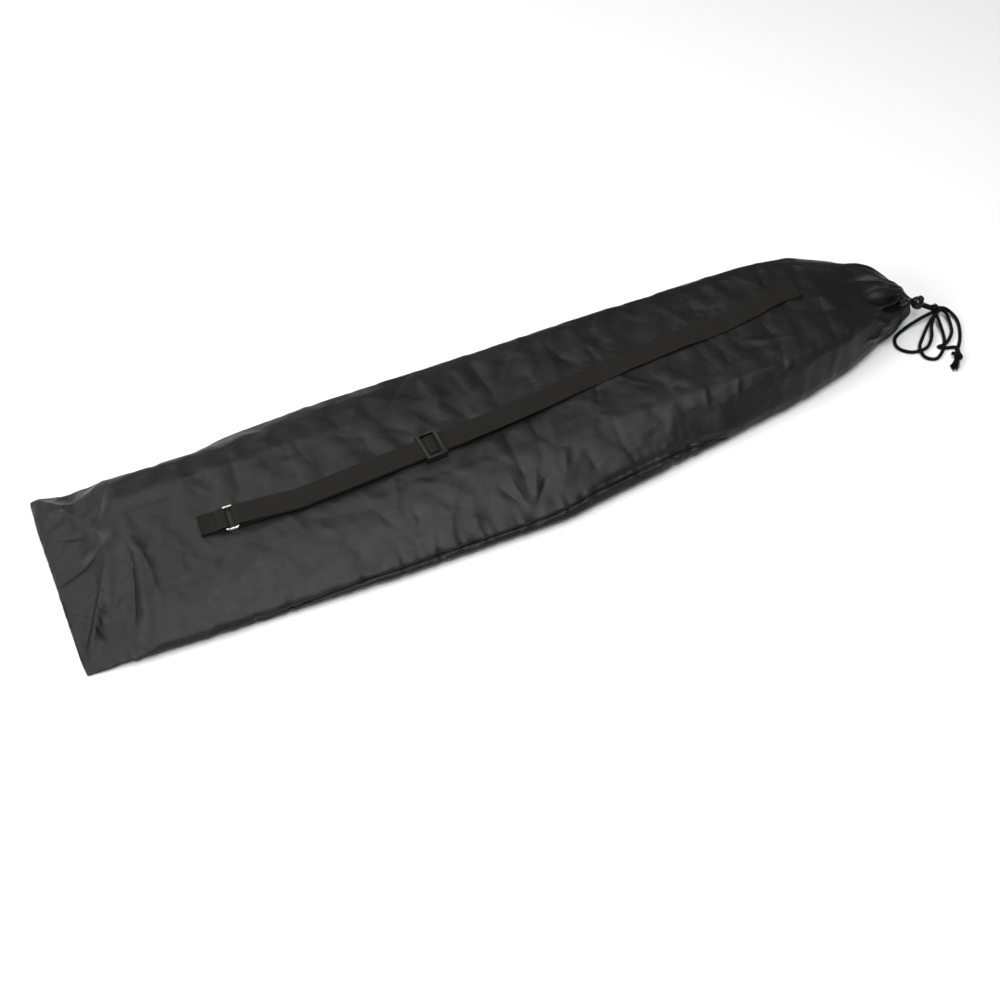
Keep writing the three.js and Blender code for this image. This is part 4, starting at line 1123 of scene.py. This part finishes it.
def build_tab():
    """A short length of webbing folded round the ring's near bar and sewn to the bag."""
    web = Webbing()
    tail, fold_end = -27.0, -6.0
    under_tail = [near_ring(RING_POS, tail, 0, across) for across in (-11, 0, 11)]
    low = max(bag_top(p.x, p.y) - p.z for p in under_tail) / MM + WEB_THICK / 2 + 0.2
    for ahead, out in ((tail, low), (-20, low + 0.1), (-13, (low - WRAP) / 2 - 0.4), (fold_end, -WRAP)):
        web.add(near_ring(RING_POS, ahead, out), RING_AXIS, -RING_OUT)
    for angle in np.linspace(-math.pi / 2, math.pi / 2, 17):
        place = near_ring(RING_POS, WRAP * math.cos(angle), WRAP * math.sin(angle))
        web.add(place, RING_AXIS, RING_AHEAD * math.cos(angle) + RING_OUT * math.sin(angle))
    high = low + WEB_THICK + 0.25
    top_line = (-4, WRAP - 0.3), (-9, WRAP * 0.45), (-14, high + 0.35), (-20, high), (tail + 0.6, high)
    for ahead, out in top_line:
        web.add(near_ring(RING_POS, ahead, out), RING_AXIS, RING_OUT)
    webbing_piece("ring_tab", web, "bag", ("strap_tab",))

    def on_tab(ahead, across):
        profile = ((-28, high), (-20, high), (-14, high + 0.35), (-9, WRAP * 0.45))
        out = np.interp(ahead, [p[0] for p in profile], [p[1] for p in profile])
        return np.array(near_ring(RING_POS, ahead, out + WEB_THICK / 2 + 0.05, across)) / MM

    x0, x1, y = -25.5, -10.5, 9.8
    corners = [(x0, -y), (x1, -y), (x1, y), (x0, y), (x0, -y), (x1, y)]
    lines = list(zip(corners, corners[1:])) + [((x1, -y), (x0, y))]
    rows = []
    for start, end in lines:
        path = [on_tab(*(np.array(start) + (np.array(end) - start) * t)) for t in np.linspace(0, 1, 9)]
        rows.append(stitch_row(path, [RING_OUT] * 9, 2.5, 1.9, 0.3))
    verts, faces = merged(rows)
    new_piece("tab_thread", verts, faces, THREAD, "bag", ("tab_stitching",))


def build_ring():
    """A rectangle of bent wire."""
    corner = 3.4
    half = RING_WIDTH / 2
    plan = []
    for cx, cy, start in ((RING_REACH - corner, corner - half, -90), (RING_REACH - corner, half - corner, 0),
                          (corner, half - corner, 90), (corner, corner - half, 180)):
        for angle in np.radians(np.linspace(start, start + 90, 9)):
            plan.append((cx + corner * math.cos(angle), cy + corner * math.sin(angle), 0))
    plan = resample(plan, 110, closed=True)
    lean_ahead = RING_AHEAD * math.cos(RING_TILT) + RING_OUT * math.sin(RING_TILT)
    lean_out = lean_ahead.cross(RING_AXIS)
    sides = 16
    verts = []
    for i, p in enumerate(plan):
        ahead = plan[(i + 1) % len(plan)] - plan[i - 1]
        ahead /= np.linalg.norm(ahead)
        for turn in turns(sides):
            a = p[0] + ahead[1] * WIRE * math.cos(turn)
            w = p[1] - ahead[0] * WIRE * math.cos(turn)
            verts.append(RING_POS + (lean_ahead * a + RING_AXIS * w + lean_out * WIRE * math.sin(turn)) * MM)
    faces = grid_faces(len(plan), sides)
    last = (len(plan) - 1) * sides
    for j in range(sides):
        k = (j + 1) % sides
        faces.append((last + j, last + k, k, j))
    ring = new_piece("ring_wire", verts, faces, NICKEL, "ring", ("strap_ring",))
    outward(ring)


def build_slider():
    """The moulded slider: the CAD frame with its edges rounded over."""
    cad = frame["nodes"]["strap_slider"]
    mesh = cad.data.copy()
    mesh.transform(cad.matrix_world)
    obj = bpy.data.objects.new("slider_moulding", mesh)
    bpy.context.scene.collection.objects.link(obj)
    bm = bmesh.new()
    bm.from_mesh(mesh)
    bmesh.ops.remove_doubles(bm, verts=bm.verts, dist=0.01 * MM)
    bmesh.ops.dissolve_limit(bm, angle_limit=math.radians(2), verts=bm.verts, edges=bm.edges)
    sharp = [e for e in bm.edges if e.calc_face_angle(0) > math.radians(30)]
    bmesh.ops.bevel(bm, geom=sharp, offset=0.65 * MM, segments=3, profile=0.5, affect="EDGES",
                    clamp_overlap=True)
    bm.to_mesh(mesh)
    bm.free()
    dress(obj, PLASTIC, "slider", ("strap_slider",))
    mesh.set_sharp_from_angle(angle=math.radians(50))


def build_slider_wrap(sections):
    """The webbing's turn over the slider's middle bar, seen in its window."""
    centre_d = along_bag(sum(corner.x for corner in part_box("strap_slider")) / 2)
    middle, across = strap_station(sections, centre_d)
    far, _ = strap_station(sections, centre_d + 4)
    ahead = (far - middle) / np.linalg.norm(far - middle)
    up = np.cross(ahead, across)
    web = Webbing()
    reach, rise = 5.6, 2.2
    for turn in np.linspace(0, math.pi, 15):
        place = middle - ahead * reach * math.cos(turn) * MM + up * (0.2 + rise * math.sin(turn) ** 0.6) * MM
        web.add(place, across, up)
    webbing_piece("slider_wrap", web, "slider", width=23.0)


# ---- Drawcord and lock -------------------------------------------------------------------------------------
PULL = Vector(JOINTS["cord_lock_slide"]["axis"]).normalized()
LOCK_UP = -Vector(JOINTS["plunger_press"]["axis"]).normalized()
LOCK_SIDE = LOCK_UP.cross(PULL)
MOUTH = Vector((MOUTH_X, MOUTH_Y, MOUTH_Z))
BALL = 8.0
BALL_FROM_MOUTH = 14.0


def twisted(points, turn_pitch=9.0, strand=1.16, offset=1.2, phase=0.0):
    """Three strands laid round a path, all in metres."""
    rough = spline(points, 40)
    length = np.sum(np.linalg.norm(np.diff(rough, axis=0), axis=1)) / MM
    path = spline(points, max(12, int(length / 0.9)))
    ahead = tangents(path)
    side = np.cross(ahead, (0.13, 0.21, 1.0))
    side /= np.linalg.norm(side, axis=1)[:, None]
    up = np.cross(side, ahead)
    run = run_along(path) / MM
    parts = []
    for k in range(3):
        turn = TAU * (run / turn_pitch + k / 3) + phase
        centre = path + (side * np.cos(turn)[:, None] + up * np.sin(turn)[:, None]) * offset * MM
        rings = []
        for c, a, b in zip(centre, side, up):
            rings.append([Vector(c + (a * math.cos(q) + b * math.sin(q)) * strand * MM)
                          for q in turns(8)])
        parts.append(tube_between(rings))
    return merged(parts)


def laid(*places):
    """A path of cord that stays above the floor."""
    return [at(d, y, max(z, 2.4)) for d, y, z in places]


def cord_knot(centre, size, stretch, seed):
    """An overhand knot: the cord wound twice over itself in a tight trefoil."""
    rng = np.random.default_rng(seed)
    lean = rng.uniform(-0.5, 0.5, 2)
    points = []
    for t in np.linspace(0, TAU, 25):
        x = math.sin(t) + 2 * math.sin(2 * t)
        y = math.cos(t) - 2 * math.cos(2 * t)
        z = -math.sin(3 * t)
        p = Vector((x * stretch, y, z * 1.3)) * size / 3
        p.rotate(Matrix.Rotation(lean[0], 3, "X") @ Matrix.Rotation(lean[1], 3, "Y"))
        points.append(centre + p * MM)
    return twisted(points)


LEFT_LOOP = laid((1070, -14, 11), (1051, -16, 9), (1028, -20, 5), (1010, -28, 2.6), (1004, -43, 2.2),
                 (1015, -56, 2.2), (1035, -57, 2.8), (1049, -46, 5), (1058, -31, 8), (1071, -17, 11))
RIGHT_LOOP = laid((1070, -18, 11), (1053, -30, 9), (1036, -45, 7), (1026, -56, 5.5), (1025, -70, 3),
                  (1036, -77, 2.2), (1051, -68, 2.2), (1062, -54, 3), (1068, -37, 6), (1072, -18, 11))
SHORT_TAIL = laid((1078, -12, 12), (1086, -18, 8), (1083, -34, 4.5), (1075, -49, 4), (1060, -60, 3),
                  (1049, -61, 2.2), (1056, -66, 2.2), (1067, -70, 2.8), (1063, -80, 4.5))
LONG_TAIL = laid((1079, -10, 12), (1090, -13, 8), (1095, -27, 4), (1091, -42, 2.4), (1080, -60, 2.4),
                 (1064, -78, 4.5))
KNOT = at(1074, -11, 12)
END_KNOT = at(1060, -84, 5.6)


def pulled(distance, side=0.0, up=0.0):
    return MOUTH + (PULL * distance + LOCK_SIDE * side + LOCK_UP * up) * MM


def build_cords():
    parts = []
    for side in (1, -1):
        spread = 2.2 * side
        parts.append(twisted([
            MOUTH + Vector((-9, 2.5 * side, 1)) * MM, MOUTH + Vector((-2, 2.2 * side, 0.5)) * MM,
            pulled(3, spread), pulled(8, spread), pulled(15, spread), pulled(22, spread), pulled(29, spread),
            pulled(33, 0.8 * spread), pulled(37, 0.4 * spread), KNOT], phase=side))
    verts, faces = merged(parts)
    strands = new_piece("cord_strands", verts, faces, CORD, None, ("drawcord_loop",))
    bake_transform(strands)

    parts = [twisted(LEFT_LOOP), twisted(RIGHT_LOOP, phase=1.0), twisted(SHORT_TAIL, phase=2.0),
             twisted(LONG_TAIL), cord_knot(KNOT, 6.4, 1.1, 1), cord_knot(END_KNOT, 5.4, 1.0, 5)]
    rng = np.random.default_rng(4)
    for _ in range(64):         # the frayed tip below the end knot
        spread = Vector(rng.normal(0, 1, 3)) * 1.2
        tip = at(1046, -99, 3.6) + spread * 1.7 * MM
        tip.z = max(tip.z, 0.6 * MM)
        rings = []
        for c in spline([END_KNOT + spread * 0.6 * MM, at(1054, -92, 3.8) + spread * MM, tip], 9):
            rings.append([Vector(c) + Vector((math.cos(q), math.sin(q) * 0.8, math.sin(q))) * 0.45 * MM
                          for q in turns(6)])
        parts.append(tube_between(rings))
    verts, faces = merged(parts)
    new_piece("cord_bow", verts, faces, CORD, "bow", ("drawcord_bow",))


def lathe(name, profile, origin, axis, material, body, replaces, sides=48):
    """A turned piece from (height, radius) pairs in millimetres along an axis."""
    turn_side = axis.orthogonal().normalized()
    other = axis.cross(turn_side)
    rings = []
    for height, radius in profile:
        rings.append([origin + (axis * height + (turn_side * math.cos(q) + other * math.sin(q)) * radius) * MM
                      for q in turns(sides)])
    verts, faces = tube_between(rings)
    obj = new_piece(name, verts, faces, material, body, replaces)
    outward(obj)
    obj.data.set_sharp_from_angle(angle=math.radians(38))


def build_lock():
    centre = pulled(BALL_FROM_MOUTH)
    bore = 4.35
    rim = math.sqrt(BALL ** 2 - bore ** 2)
    ball = [(-BALL * math.cos(a), BALL * math.sin(a))
            for a in np.linspace(0.02, math.pi - math.asin(bore / BALL) - 0.06, 30)]
    ball += [(rim + 0.05, bore + 0.35), (rim - 0.1, bore + 0.05), (rim - 0.6, bore), (2.5, bore), (2.5, 0.05)]
    lathe("lock_ball", ball, centre, LOCK_UP, BALL_PLASTIC, "cord_lock", ("cord_lock_ball",))
    foot, top, stem, rounding = 5.65, 9.8, 3.85, 1.2
    plunger = [(foot, 0.05), (foot, stem), (top - rounding, stem)]
    plunger += [(top - rounding + rounding * math.sin(a), stem - rounding + rounding * math.cos(a))
                for a in np.linspace(0.2, math.pi / 2, 7)]
    plunger += [(top, 0.05)]
    lathe("lock_button", plunger, centre, LOCK_UP, BALL_PLASTIC, "lock_plunger", ("cord_lock_plunger",))


build_bag_stitching()
strap = build_strap()
build_sewn_end(strap)
build_tab()
build_ring()
build_slider()
build_slider_wrap(strap)
build_cords()
build_lock()

# ---- Everything else keeps its CAD shape and gets a finish -------------------------------------------------
SLOT_OF = {s["node"]: s["material_slot"] for s in RECORD["subparts"]}
FALLBACK = {"bag_fabric": FABRIC, "thread_and_cord": CORD, "black_plastic": PLASTIC, "plated_wire": NICKEL}
for name, node in frame["nodes"].items():
    look = CAD_LOOKS.get(SLOT_OF[name]) or FALLBACK[SLOT_OF[name]]
    node.data.materials.clear()
    node.data.materials.append(look)
    node.data.set_sharp_from_angle(angle=math.radians(35))


# ---- Stage -------------------------------------------------------------------------------------------------
def build_stage():
    floor = bpy.data.meshes.new("floor")
    half = 6.0
    corners = [(-half, -half, 0), (half, -half, 0), (half, half, 0), (-half, half, 0)]
    floor.from_pydata(corners, [], [(0, 1, 2, 3)])
    obj = bpy.data.objects.new("floor", floor)
    bpy.context.scene.collection.objects.link(obj)
    paper = Shader("paper", Roughness=0.9, Specular_IOR_Level=0.1)
    paper.put(paper.surface.inputs["Base Color"], (0.95, 0.95, 0.95, 1))
    obj.data.materials.append(paper.material)


def softbox(name, place, target, size, power):
    light = bpy.data.lights.new(name, "AREA")
    light.shape = "RECTANGLE"
    light.size, light.size_y = size
    light.energy = power
    obj = bpy.data.objects.new(name, light)
    obj.location = place
    obj.rotation_mode = "QUATERNION"
    obj.rotation_quaternion = (Vector(target) - Vector(place)).to_track_quat("-Z", "Y")
    bpy.context.scene.collection.objects.link(obj)


def build_light():
    world = bpy.data.worlds.new("studio")
    world.use_nodes = True
    world.node_tree.nodes["Background"].inputs["Color"].default_value = (1, 1, 1, 1)
    world.node_tree.nodes["Background"].inputs["Strength"].default_value = 0.12
    bpy.context.scene.world = world
    middle = (0, 0, 0)
    softbox("left", (-2.4, -0.4, 1.4), middle, (1.4, 1.4), 44)
    softbox("front", (-0.1, -1.3, 2.3), middle, (1.1, 1.1), 32)
    softbox("right", (0.35, -0.2, 2.4), middle, (1.1, 1.1), 18)
    softbox("back", (-0.7, 1.3, 2.2), middle, (1.1, 1.1), 19)
    softbox("back_left", (-1.8, 1.5, 1.6), middle, (1.4, 1.4), 12)
    bpy.context.scene.view_settings.view_transform = "Standard"


CAMERA_PLACE = (-0.5314, -1.1961, 1.4083)
CAMERA_LENS, CAMERA_SENSOR = 61.2, 36


def build_camera():
    """Looks 49 degrees down on the bag, which runs away to the right."""
    camera = bpy.data.cameras.new("camera")
    camera.lens, camera.sensor_width = CAMERA_LENS, CAMERA_SENSOR
    obj = bpy.data.objects.new("camera", camera)
    turn, tilt = math.radians(-23.46), math.radians(49.0)
    obj.location = CAMERA_PLACE
    obj.rotation_euler = (math.pi / 2 - tilt, 0, turn)
    bpy.context.scene.collection.objects.link(obj)
    bpy.context.scene.camera = obj


build_stage()
build_light()
build_camera()
